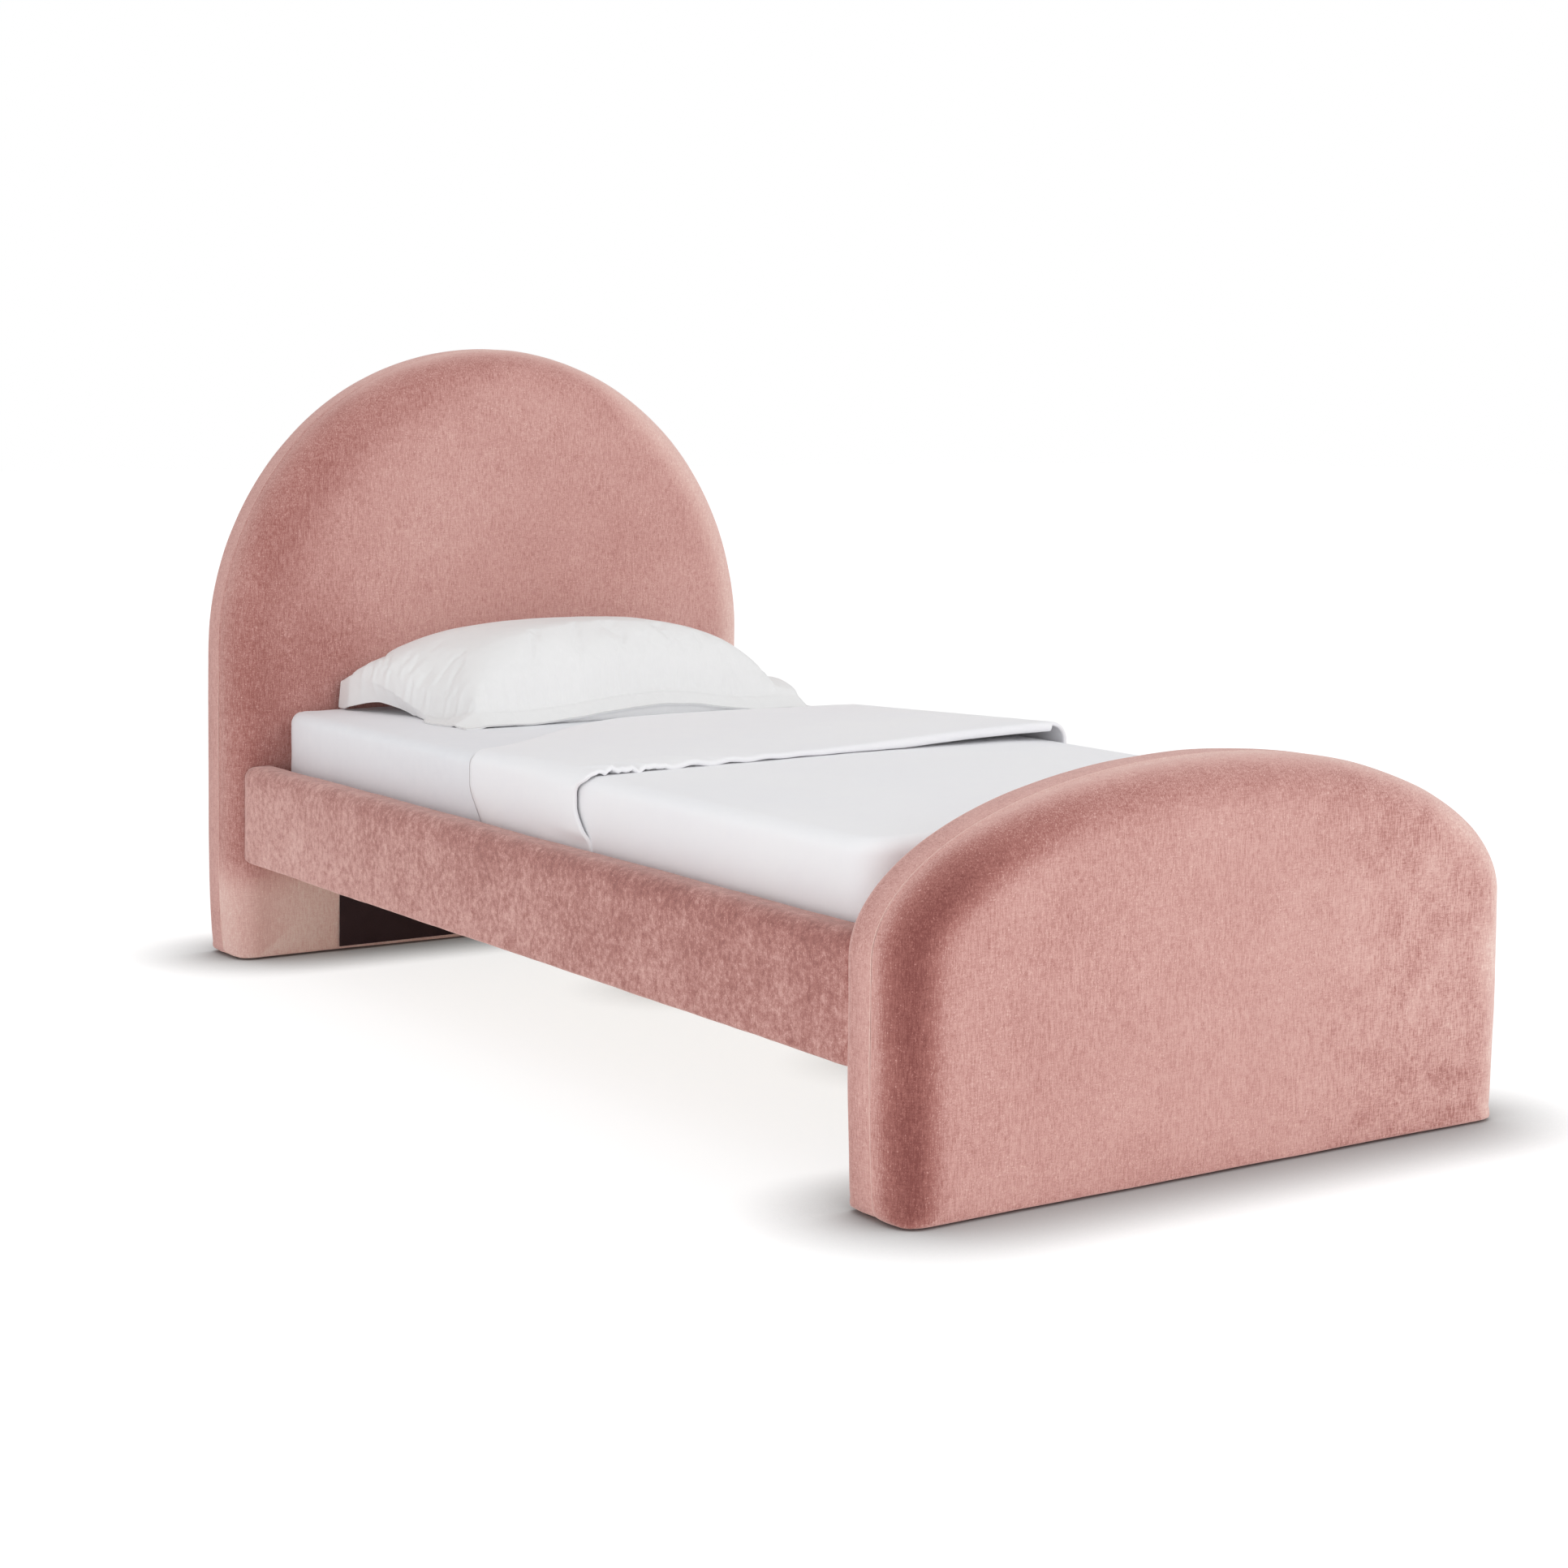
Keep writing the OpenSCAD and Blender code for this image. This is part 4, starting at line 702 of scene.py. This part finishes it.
sheet_low, sheet_high = frame_box("fitted_sheet")
LAYER_IN_X, LAYER_IN_Z = sheet_high.x + 0.0004, sheet_high.z + 0.0004
DUVET_HEM_Z = frame_box("duvet")[0].z + 0.001
FOLD_FOOT_Y, FOLD_HEAD_Y, LAYER_HEAD_Y = -0.165, 0.500, 0.06
LAYER_SIDE, LAYER_TOP, LAYER_FOOT = 0.0052, 0.0080, 0.0080
LAYER_CORNER, LAYER_EDGE, LAYER_STEP = 0.052, 0.024, 0.016
FOLD_SIDE, FOLD_CORNER, FOLD_TOP = 22, 9, 150
RAIL_TOP_Z = frame_box("left_rail_cover")[1].z


def layer_rise(x):
    """Height of the duvet's layer over its flat place: higher to the right, a little crowned."""
    return 0.0035 * ease((x + 0.5) / 1.0) + 0.004 * np.clip(1 - (x / 0.5) ** 2, 0, 1)


def draped_layer(inset):
    """Outer or inner surface of the layer: a top with hanging sides and a hanging foot end."""
    edge = LAYER_EDGE - inset
    half_x = LAYER_IN_X + LAYER_SIDE - inset
    y0 = sheet_low.y - 0.0006 - LAYER_FOOT + inset
    z1 = LAYER_IN_Z + LAYER_TOP - inset
    corner = LAYER_CORNER - LAYER_EDGE
    plan, out = plan_grid(half_x - edge, y0 + edge, LAYER_HEAD_Y, corner, LAYER_STEP, False)
    rows, cols = plan.shape[:2]
    flat = plan.reshape(-1, 2)
    heights = z1 + layer_rise(flat[:, 0]) * np.clip((half_x - abs(flat[:, 0])) / 0.12, 0, 1)
    left = [r * cols for r in range(rows)]
    walk = left[::-1] + list(range(1, cols)) + [first + cols - 1 for first in left[1:]]
    points, faces = [columns(*flat.T, heights)], grid_faces(rows, cols)
    profile = [(edge * sin(t), edge * (1 - cos(t))) for t in np.linspace(0, pi / 2, 8)[1:]]
    profile += [(edge, d) for d in np.linspace(edge, z1 - DUVET_HEM_Z - 0.5 * inset, 15)[1:]]
    rim_z = heights[walk]
    rings = [(offset, rim_z + (z1 - rim_z) * min(1, down / 0.1) - down) for offset, down in profile]
    hem = add_rings(points, faces, walk, out.reshape(-1, 2)[walk], rings, False)
    left_end = [walk[0], *range(len(flat), hem[0] + 1, len(walk))]
    right_end = [*range(hem[-1], len(flat), -len(walk)), walk[-1]]
    head = [*range(rows * cols - 2, left[-1], -1)]
    return np.concatenate(points), faces, left_end + hem[1:-1] + right_end + head


outer, outer_faces, outer_loop = draped_layer(0.0)
inner, inner_faces, inner_loop = draped_layer(LAYER_SIDE - 0.0002)
hang = ease((LAYER_IN_Z - outer[:, 2]) / 0.10)
side_share = ease((abs(outer[:, 0]) - 0.44) / 0.05)
soft = 0.0010 * waves(outer * (1, 0.7, 1), 0.20, 101) + 0.0007 * waves(outer, 0.06, 102)
outer[:, 2] += np.where(hang < 0.05, soft + 0.0006, 0.0) * (1 - side_share)
outer[:, 0] += np.sign(outer[:, 0]) * hang * side_share * 0.0010 * waves(outer * (1, 1, 0.3), 0.09, 103)
count = len(outer)
faces = outer_faces + [tuple(count + i for i in reversed(f)) for f in inner_faces]
faces += bridge_faces(outer_loop, [count + i for i in inner_loop])
duvet_layer = add_mesh("duvet_layer", np.concatenate([outer, inner]), faces, duvet_linen, "duvet")
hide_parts("duvet")


def fold_path():
    """Places along the fold from its left edge over the top to its right edge.

    Each is (side, t): side -1 or 1 for a hanging side with t its height from hem to corner,
    side -2 or 2 for a corner with t its angle, and side 0 for the top with t from -1 to 1."""
    path = [(-1, t) for t in np.linspace(0, 1, FOLD_SIDE, endpoint=False)]
    path += [(-2, t) for t in np.linspace(0, 1, FOLD_CORNER, endpoint=False)]
    path += [(0, t) for t in np.linspace(-1, 1, FOLD_TOP)]
    path += [(2, t) for t in np.linspace(1, 0, FOLD_CORNER + 1)[1:]]
    path += [(1, t) for t in np.linspace(1, 0, FOLD_SIDE + 1)[1:]]
    return path


def head_line(x, drop):
    """Where the fold starts at the head side, at place x and at a depth under the top."""
    left = ease((-x - 0.02) / 0.50)
    right = ease((x - 0.06) / 0.46)
    low = ease((drop - 0.05) / 0.08) * (x < 0)
    return FOLD_HEAD_Y - 0.265 * left - 0.04 * right - 0.045 * low


def foot_line(x, drop):
    """Where the fold's foot edge lies."""
    sag = ease(drop / 0.04) - ease((drop - 0.06) / 0.08)
    low = ease((drop - 0.06) / 0.06)
    return FOLD_FOOT_Y + 0.026 * sag * (x < 0) + 0.003 * np.sin(9 * x + 1) - 0.015 * low


def fold_point(side, t, thick_top, thick_side, r):
    """Point of the fold's surface, thick above the sheet's top and beside its sides, and its depth."""
    x_out, z_out = LAYER_IN_X + thick_side, LAYER_IN_Z + thick_top
    if side == 0:
        return np.array([t * (x_out - r), 0.0, z_out]), 0.0
    if abs(side) == 2:
        x = x_out - r + r * cos(t * pi / 2)
        z = z_out - r + r * sin(t * pi / 2)
    else:
        x, z = x_out, DUVET_HEM_Z + 0.004 + t * (z_out - r - DUVET_HEM_Z - 0.004)
    return np.array([x if side > 0 else -x, 0.0, z]), z_out - z


def edge_thickness(x):
    """How high the fold's foot edge stands over the layer below it."""
    return 0.0125 + 0.021 * ease((x + 0.1) / 0.6)


def fold_place(share, side, t):
    """Point of the fold at a share of the way from its head line to its foot edge."""
    rough_x = t * 0.49 if side == 0 else (0.5 if side > 0 else -0.5)
    start = ease(share / 0.045)
    thick = (0.0015 + start * (LAYER_TOP + 0.0035 * ease(rough_x + 0.5) - 0.002)
             + edge_thickness(rough_x) * (0.15 + 0.85 * share) * start)
    level = 1.0 if abs(side) != 1 else ease((DUVET_HEM_Z + 0.2 * t - RAIL_TOP_Z - 0.012) / 0.03)
    flank = 0.0012 + start * (0.0046 + 0.0040 * ease((share - 0.35) / 0.4)
                              + 0.0070 * level * ease((share - 0.6) / 0.4))
    point, drop = fold_point(side, t, thick, flank, 0.020 + flank)
    x = point[0]
    point[2] += 0.004 * max(0.0, 1 - (x / 0.5) ** 2) * start if side == 0 else 0.0
    y0, y1 = head_line(x, drop), foot_line(x, drop)
    point[1] = y0 + (y1 - y0) * share
    return point


BODY_SHARES = np.concatenate([np.linspace(0.0, 0.05, 5), np.linspace(0.05, 0.9, 44)[1:],
                              np.linspace(0.9, 1.0, 15)[1:]])
FOLD_FLAT_X = 0.47
path = fold_path()
fold = np.array([[fold_place(share, *place) for place in path] for share in BODY_SHARES])
rows, cols = fold.shape[:2]

# Creases of the fold: small gathers at the left corner of its foot edge, and soft long ones.
# edge_x and edge_z are views of the foot edge, and move with it.
edge_x, edge_z = fold[-1, :, 0], fold[-1, :, 2]
along = np.append(0, np.cumsum(np.hypot(np.diff(edge_x), np.diff(edge_z))))
past_corner = along - along[FOLD_SIDE + FOLD_CORNER]
from_edge = fold[:, :, 1] - fold[-1, :, 1]
slanted = along + 0.55 * from_edge
gathers = (np.sin(2 * pi * slanted / 0.021 + 0.8) * 0.5
           + np.sin(2 * pi * slanted / 0.034 + 2.0) * 0.5)
long_folds = np.sin(2 * pi * (along + 0.9 * from_edge) / 0.075)
lift = (gathers * (0.0052 * bell(past_corner, 0.045, 0.065) * bell(from_edge, 0, 0.050))
        + 0.0026 * long_folds * bell(past_corner, 0.16, 0.16) * bell(from_edge, 0, 0.07))
flat_points = fold.reshape(-1, 3)
soft = (0.0012 * waves(flat_points * (1, 0.8, 1), 0.16, 111)
        + 0.0007 * waves(flat_points, 0.05, 112)).reshape(rows, cols)
slope_x, slope_z = np.gradient(edge_x), np.gradient(edge_z)
size = np.hypot(slope_z, slope_x)
normal_x, normal_z = -slope_z / size, slope_x / size
soft *= np.where(abs(edge_x) < FOLD_FLAT_X, 1.0, 0.45)
move = (lift + soft) * ease(BODY_SHARES / 0.06)[:, None]
fold[:, :, 0] += move * normal_x
fold[:, :, 2] += move * normal_z


def sunk(row, depth):
    """A row of the fold moved inwards by a depth."""
    row = row.copy()
    row[:, 0] -= depth * normal_x
    row[:, 2] -= depth * normal_z
    return row


# The foot edge rolls under itself, and the underside runs back to the head line
lower_rows = []
thick = np.where(abs(edge_x) < FOLD_FLAT_X, edge_thickness(edge_x), 0.0100)
roll = np.minimum(thick * 0.5, 0.010) - 0.0012
for a in np.linspace(0, pi, 9)[1:]:
    row = sunk(fold[-1], roll * (1 - cos(a)))
    row[:, 1] -= roll * sin(a) * 1.1
    lower_rows.append(row)
for share, depth in ((0.985, 1.0), (0.95, 1.25), (0.6, 1.3), (0.15, 1.0), (0.03, 0.7)):
    row = fold[int(np.argmin(abs(BODY_SHARES - share)))]
    room = np.where(abs(edge_x) < FOLD_FLAT_X, row[:, 2] - LAYER_IN_Z - 0.0005, 0.004)
    lower_rows.append(sunk(row, np.minimum(2 * roll * depth, np.maximum(0.0008, room))))
fold = np.concatenate([fold, np.array(lower_rows)])
count = fold.shape[0] * cols
faces = grid_faces(len(fold), cols) + bridge_faces(list(range(count - cols, count)), list(range(cols)), False)
faces += [tuple(range(0, count, cols)), tuple(range(count - 1, -1, -cols))]
duvet_fold = add_mesh("duvet_fold", fold.reshape(-1, 3), faces, duvet_linen, "duvet")
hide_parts("duvet")


# Pillow and its cover

sham_low, sham_high = frame_box("pillow_sham")
PILLOW_X = (sham_low.x + sham_high.x) / 2
PILLOW_Y = (sham_low.y + sham_high.y) / 2
SHAM_HALF = ((sham_high.x - sham_low.x) / 2, (sham_high.y - sham_low.y) / 2)
FLANGE, FLANGE_HALF = 0.046, 0.0013
BODY_HALF = SHAM_HALF[0] - FLANGE, SHAM_HALF[1] - FLANGE
SHAM_BASE = sheet_high.z + 0.0003
FULL_HEIGHT, LOW_BULGE = 0.170, 0.075


def swell(a, b):
    """Fullness of the pillow from 0 at its seam to 1, over its body's plan from -1 to 1."""
    blunt, power = np.where(a < 0, 2.9, 3.0), np.where(a < 0, 0.5, 0.72)
    return np.maximum(0, 1 - abs(a) ** blunt) ** power * np.maximum(0, 1 - abs(b) ** 3) ** 0.55


def seam_lift(a, b):
    """Height of the seam over the bed: it climbs to the headboard, at the right end from the corner on."""
    left = 0.068 * ease((b + 0.6) / 1.4)
    right = 0.060 * np.sin(pi / 2 * np.clip((b + 1) / 1.1, 0, 1)) ** 0.6
    return left + (right - left) * ease((a - 0.3) / 0.6)


FLANGE_SPOTS = (-1.0, -0.6, -0.45, -0.25, 0.0, 0.3, 0.6, 1.0)
FLANGE_OUT = (0.9, 0.9, 0.7, 0.1, -0.4, -0.45, -0.25, 0.1)
FLANGE_DOWN = (0.5, 0.4, 0.3, 0.4, 0.65, 0.8, 0.95, 1.35)


def sham_middle(u, v):
    """Middle surface of the pillow's cover over its plan, and the plan within the body.

    The left end's flange lies flat at the front, is tucked under in the middle and hangs at the
    headboard; the front one slopes down from the seam, and its middle stands clear of the bed."""
    a = np.clip(u * SHAM_HALF[0] / BODY_HALF[0], -1, 1)
    b = np.clip(v * SHAM_HALF[1] / BODY_HALF[1], -1, 1)
    past_x = np.sign(u) * np.maximum(0, abs(u) * SHAM_HALF[0] - BODY_HALF[0])
    past_y = np.sign(v) * np.maximum(0, abs(v) * SHAM_HALF[1] - BODY_HALF[1])
    arched = 0.5 * (1 + np.cos(pi * np.clip((a - 0.22) / np.where(a < 0.22, 0.95, 0.62), -1, 1)))
    lift = seam_lift(a, b) + (0.026 + 0.022 * arched) * np.maximum(0, -b) ** 2
    out = np.where(u < 0, np.interp(b, FLANGE_SPOTS, FLANGE_OUT), 1 - 0.1 * ease(b))
    right_down = 0.1 + 0.5 * ease((b + 0.7) / 1.2)
    down = np.where(u < 0, np.interp(b, FLANGE_SPOTS, FLANGE_DOWN), right_down)
    half = BODY_HALF[0] + np.where(a < 0, 0.004 + 0.042 * b, 0.003 * b)
    x = PILLOW_X + a * half + past_x * out
    y = PILLOW_Y + b * BODY_HALF[1] + past_y * (0.9 - 0.05 * np.sign(v))
    hang = abs(past_x) * down + abs(past_y) * np.where(v > 0, 0.3, 0.52)
    return np.stack([x, y, SHAM_BASE + FLANGE_HALF + np.maximum(0, lift - hang)], 2), a, b


def pillow_grid(half_u, half_v, nx, ny):
    return np.meshgrid(np.linspace(-half_u, half_u, nx + 1), np.linspace(-half_v, half_v, ny + 1))


def grid_normals(grid):
    normal = np.cross(np.gradient(grid, axis=1), np.gradient(grid, axis=0))
    return normal / np.linalg.norm(normal, axis=2)[:, :, None]


def closed_faces(rows, cols):
    """Faces of an upper and a lower grid joined round their border."""
    count = rows * cols
    walk = border_walk(rows, cols)
    return (grid_faces(rows, cols) + [tuple(reversed(f)) for f in grid_faces(rows, cols, start=count)]
            + bridge_faces(walk, [count + i for i in walk]))


def pillow_shape(name, u, v, inset, material, slot):
    """Closed form of the pillow or its cover, with a top and a bottom layer over a plan grid."""
    middle, a, b = sham_middle(u, v)
    normal = grid_normals(middle)
    grown = swell(a, b)
    upper = middle + normal * FLANGE_HALF
    lower = middle - normal * FLANGE_HALF
    upper[:, :, 2] += np.maximum(0, (FULL_HEIGHT - seam_lift(a, b)) * grown - inset)
    from_front = (1 + v) * SHAM_HALF[1]
    under_edge = ease((from_front - 0.004) / 0.022) * ease((0.97 - abs(a)) / 0.2) * (b < 0)
    full_below = np.maximum(grown ** 0.6 * ease((a + 1) / 0.3), under_edge)
    lower[:, :, 2] -= np.maximum(0, LOW_BULGE * full_below - inset)
    lower[:, :, 2] = np.maximum(lower[:, :, 2], SHAM_BASE + inset)
    points = np.concatenate([upper, lower]).reshape(-1, 3)
    return add_mesh(name, points, closed_faces(*u.shape), material, "pillow")


def refine(grid):
    """Halves the spacing of a grid of points by cubic interpolation."""
    for axis in (0, 1):
        p = np.moveaxis(grid, axis, 0)
        before = np.concatenate([2 * p[:1] - p[1:2], p[:-2]])
        after = np.concatenate([p[2:], 2 * p[-1:] - p[-2:-1]])
        finer = np.empty((2 * len(p) - 1,) + p.shape[1:])
        finer[0::2], finer[1::2] = p, (9 * (p[:-1] + p[1:]) - before - after) / 16
        grid = np.moveaxis(finer, 0, axis)
    return grid


def puckers(along, inward, half_length, spacing, height, reach, random):
    """Small ridges across a seam; they run in from it, lean to and fro, and fade in the body."""
    total = np.zeros_like(along)
    spot = -half_length + 0.01
    while spot < half_length - 0.01:
        width = random.uniform(0.0035, 0.0075)
        length = reach * random.uniform(0.4, 1.5)
        tall = height * random.uniform(0.35, 1.0)
        lean = random.uniform(-0.35, 0.35)
        ridge = bell(along - spot, lean * inward, width * (1 + 6 * np.maximum(0, inward)))
        fade = np.where(inward > 0, bell(inward, 0, length), np.clip(1 + inward / 0.040, 0, 1) ** 0.5)
        total += tall * ridge * fade
        spot += spacing * random.uniform(0.5, 1.5)
    return total


def fill_out(piece, held, pressure, slack, cap, frames=20):
    """Blows the piece up as cloth for some frames; held points stay, and none moves further than cap."""
    start = mesh_points(piece)
    group = piece.vertex_groups.new(name="held")
    for number, weight in enumerate(held):
        if weight > 0.01:
            group.add([number], float(weight), "REPLACE")
    cloth = piece.modifiers.new("cloth", "CLOTH")
    settings = cloth.settings
    settings.quality = 6
    settings.mass = 0.2
    settings.tension_stiffness = settings.compression_stiffness = 12.0
    settings.shear_stiffness = 4.0
    settings.bending_stiffness = 0.08
    settings.use_pressure = True
    settings.uniform_pressure_force = pressure
    settings.shrink_min = -slack
    settings.vertex_group_mass = group.name
    settings.effector_weights.gravity = 0.0
    for number in range(1, frames + 1):
        scene.frame_set(number)
    shaped = piece.evaluated_get(bpy.context.evaluated_depsgraph_get())
    flat = np.empty(len(start) * 3, np.float32)
    shaped.data.vertices.foreach_get("co", flat)
    piece.modifiers.remove(cloth)
    piece.vertex_groups.remove(group)
    scene.frame_set(1)
    move = flat.reshape(-1, 3).astype(float) - start
    length = np.linalg.norm(move, axis=1)
    move *= (np.minimum(1.0, cap / np.maximum(length, 1e-9)))[:, None]
    set_points(piece, start + move)


FILL_IN = 0.02
body_u, body_v = (1 - (FLANGE + FILL_IN) / half for half in SHAM_HALF)
pillow = pillow_shape("pillow_body", *pillow_grid(body_u, body_v, 48, 32), 0.012, fill_cloth, "filling")
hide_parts("pillow")

sham_u, sham_v = pillow_grid(1, 1, 132, 72)
sham = pillow_shape("pillow_cover", sham_u, sham_v, 0.0, sham_linen, "bedding")
flange_in = np.minimum((1 - abs(sham_u)) * SHAM_HALF[0], (1 - abs(sham_v)) * SHAM_HALF[1]) / FLANGE
sham_held = np.tile((1 - ease((flange_in - 0.95) / 0.25)).ravel(), 2)
fill_out(sham, sham_held, pressure=2.0, slack=0.02, cap=0.007)
upper, lower = (refine(layer) for layer in mesh_points(sham).reshape(2, *sham_u.shape, 3))
rows, cols = upper.shape[:2]
sham_u, sham_v = pillow_grid(1, 1, cols - 1, rows - 1)
random = np.random.default_rng(17)
to_front, to_back = ((1 + way * sham_v) * SHAM_HALF[1] - FLANGE for way in (1, -1))
to_left, to_right = ((1 + way * sham_u) * SHAM_HALF[0] - FLANGE for way in (1, -1))
across, along = sham_u * SHAM_HALF[0], sham_v * SHAM_HALF[1]
nearest = np.minimum(np.minimum(to_front, to_back), np.minimum(to_left, to_right))
half_x, half_y = (half - 0.05 for half in SHAM_HALF)
corner = bell(np.hypot(across + SHAM_HALF[0] - 0.05, along + SHAM_HALF[1] - 0.05), 0, 0.13)
gathers = (puckers(across, to_front, half_x, 0.019, 0.0022, 0.022, random)
           + corner * puckers(across, to_front, half_x, 0.030, 0.0026, 0.060, random)
           + puckers(along, to_left, half_y, 0.040, 0.0024, 0.030, random)
           + puckers(along, to_right, half_y, 0.034, 0.0022, 0.030, random)
           + puckers(across, to_back, half_x, 0.045, 0.0020, 0.025, random))
places = upper.reshape(-1, 3)
soft = (0.0014 * waves(places * (1, 0.6, 0.6), 0.13, 121) + 0.0005 * waves(places, 0.045, 122)
        ).reshape(rows, cols) * ease(nearest / 0.05)
seam_line = -0.0012 * bell(nearest, 0.001, 0.0035)
edge_wave = 0.0022 * waves(places, 0.060, 123).reshape(rows, cols) * ease(-nearest / FLANGE)
normal = grid_normals(upper)
flat_share = 1 - ease((nearest + 0.004) / 0.010)
upper += normal * (gathers + soft + seam_line + edge_wave)[:, :, None]
lower += normal * ((gathers + edge_wave) * flat_share)[:, :, None]
points = np.concatenate([upper, lower]).reshape(-1, 3)
lowest = SHAM_BASE + 0.0002 + np.repeat([2 * FLANGE_HALF * 0.9, 0.0], rows * cols)
points[:, 2] = np.maximum(points[:, 2], lowest)
sham.data.clear_geometry()
fill_mesh(sham.data, points, closed_faces(rows, cols))
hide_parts("pillow_sham")


# Floor, light and camera

WHITE = (1.0, 1.0, 1.0, 1.0)
FLOOR_REACH = 30.0
FLOOR_LIT, FLOOR_SEEN = 0.9, 0.34             # the floor's grey as light falls on it, and as it is seen
SEEN_SHINE, BOUNCE_SHINE = 0.58, 0.22         # light that it gives off as seen besides, and to every ray
CONTACT_REACH, CONTACT_POWER = 0.19, 3.0      # its contact shadow
WORLD_LIT, WORLD_SEEN = 0.74, 1.0
LIGHTS = (                                    # name, place, target, size and power
    ("key_light", (3.0, -5.2, 4.7), (0, 0, 0.4), (4.7, 4.7), 101),
    ("side_light", (-3.8, -2.8, 0.7), (0, 0, 0.3), (3.0, 1.2), 26),
)


def make_floor():
    mesh = bpy.data.meshes.new("floor")
    corners = [(x * FLOOR_REACH, y * FLOOR_REACH, 0) for x, y in ((-1, -1), (1, -1), (1, 1), (-1, 1))]
    mesh.from_pydata(corners, [], [(0, 1, 2, 3)])
    floor = add_object("floor", mesh)
    m = Material("pale_floor", Roughness=0.9, Specular_IOR_Level=0.05, Emission_Color=WHITE)
    seen = m.seen("Camera", "Glossy", "Transmission")
    shine = m.math("ADD", m.math("MULTIPLY", seen, SEEN_SHINE), BOUNCE_SHINE)
    contact = m.add("AmbientOcclusion", Distance=CONTACT_REACH).outputs["AO"]
    shine = m.math("MULTIPLY", shine, m.math("POWER", contact, CONTACT_POWER))
    m.fill(m.shader, Base_Color=m.spread(seen, FLOOR_LIT, FLOOR_SEEN), Emission_Strength=shine)
    mesh.materials.append(m.result)


def make_world():
    world = bpy.data.worlds.new("studio")
    scene.world = world
    sky = Shading(world, "Background", Color=WHITE)
    sky.fill(sky.shader, Strength=sky.spread(sky.seen("Camera", "Glossy"), WORLD_LIT, WORLD_SEEN))


def add_area_light(name, place, target, size, power):
    light = bpy.data.lights.new(name, "AREA")
    light.shape = "RECTANGLE"
    light.size, light.size_y = size
    light.energy = power
    lamp = add_object(name, light)
    lamp.location = place
    lamp.rotation_euler = (Vector(target) - Vector(place)).to_track_quat("-Z", "Y").to_euler()


def add_camera():
    data = bpy.data.cameras.new("camera")
    camera = add_object("camera", data)
    level = cos(PITCH)
    ahead = Vector((sin(YAW) * level, cos(YAW) * level, sin(PITCH)))
    level_right = Vector((cos(YAW), -sin(YAW), 0))
    up = level_right.cross(ahead)
    right = level_right * cos(ROLL) + up * sin(ROLL)
    up = -level_right * sin(ROLL) + up * cos(ROLL)
    turn = Matrix((right, up, -ahead)).transposed().to_4x4()
    camera.matrix_world = Matrix.Translation(CAMERA_PLACE) @ turn
    data.sensor_width = SENSOR
    data.lens = SENSOR * FOCAL_PX / IMAGE_SIZE
    data.shift_x = (IMAGE_SIZE / 2 - CENTRE_PX[0]) / IMAGE_SIZE
    data.shift_y = (CENTRE_PX[1] - IMAGE_SIZE / 2) / IMAGE_SIZE
    data.clip_end = 60
    scene.camera = camera


make_floor()
make_world()
for light in LIGHTS:
    add_area_light(*light)
add_camera()
scene.view_settings.view_transform = "Standard"
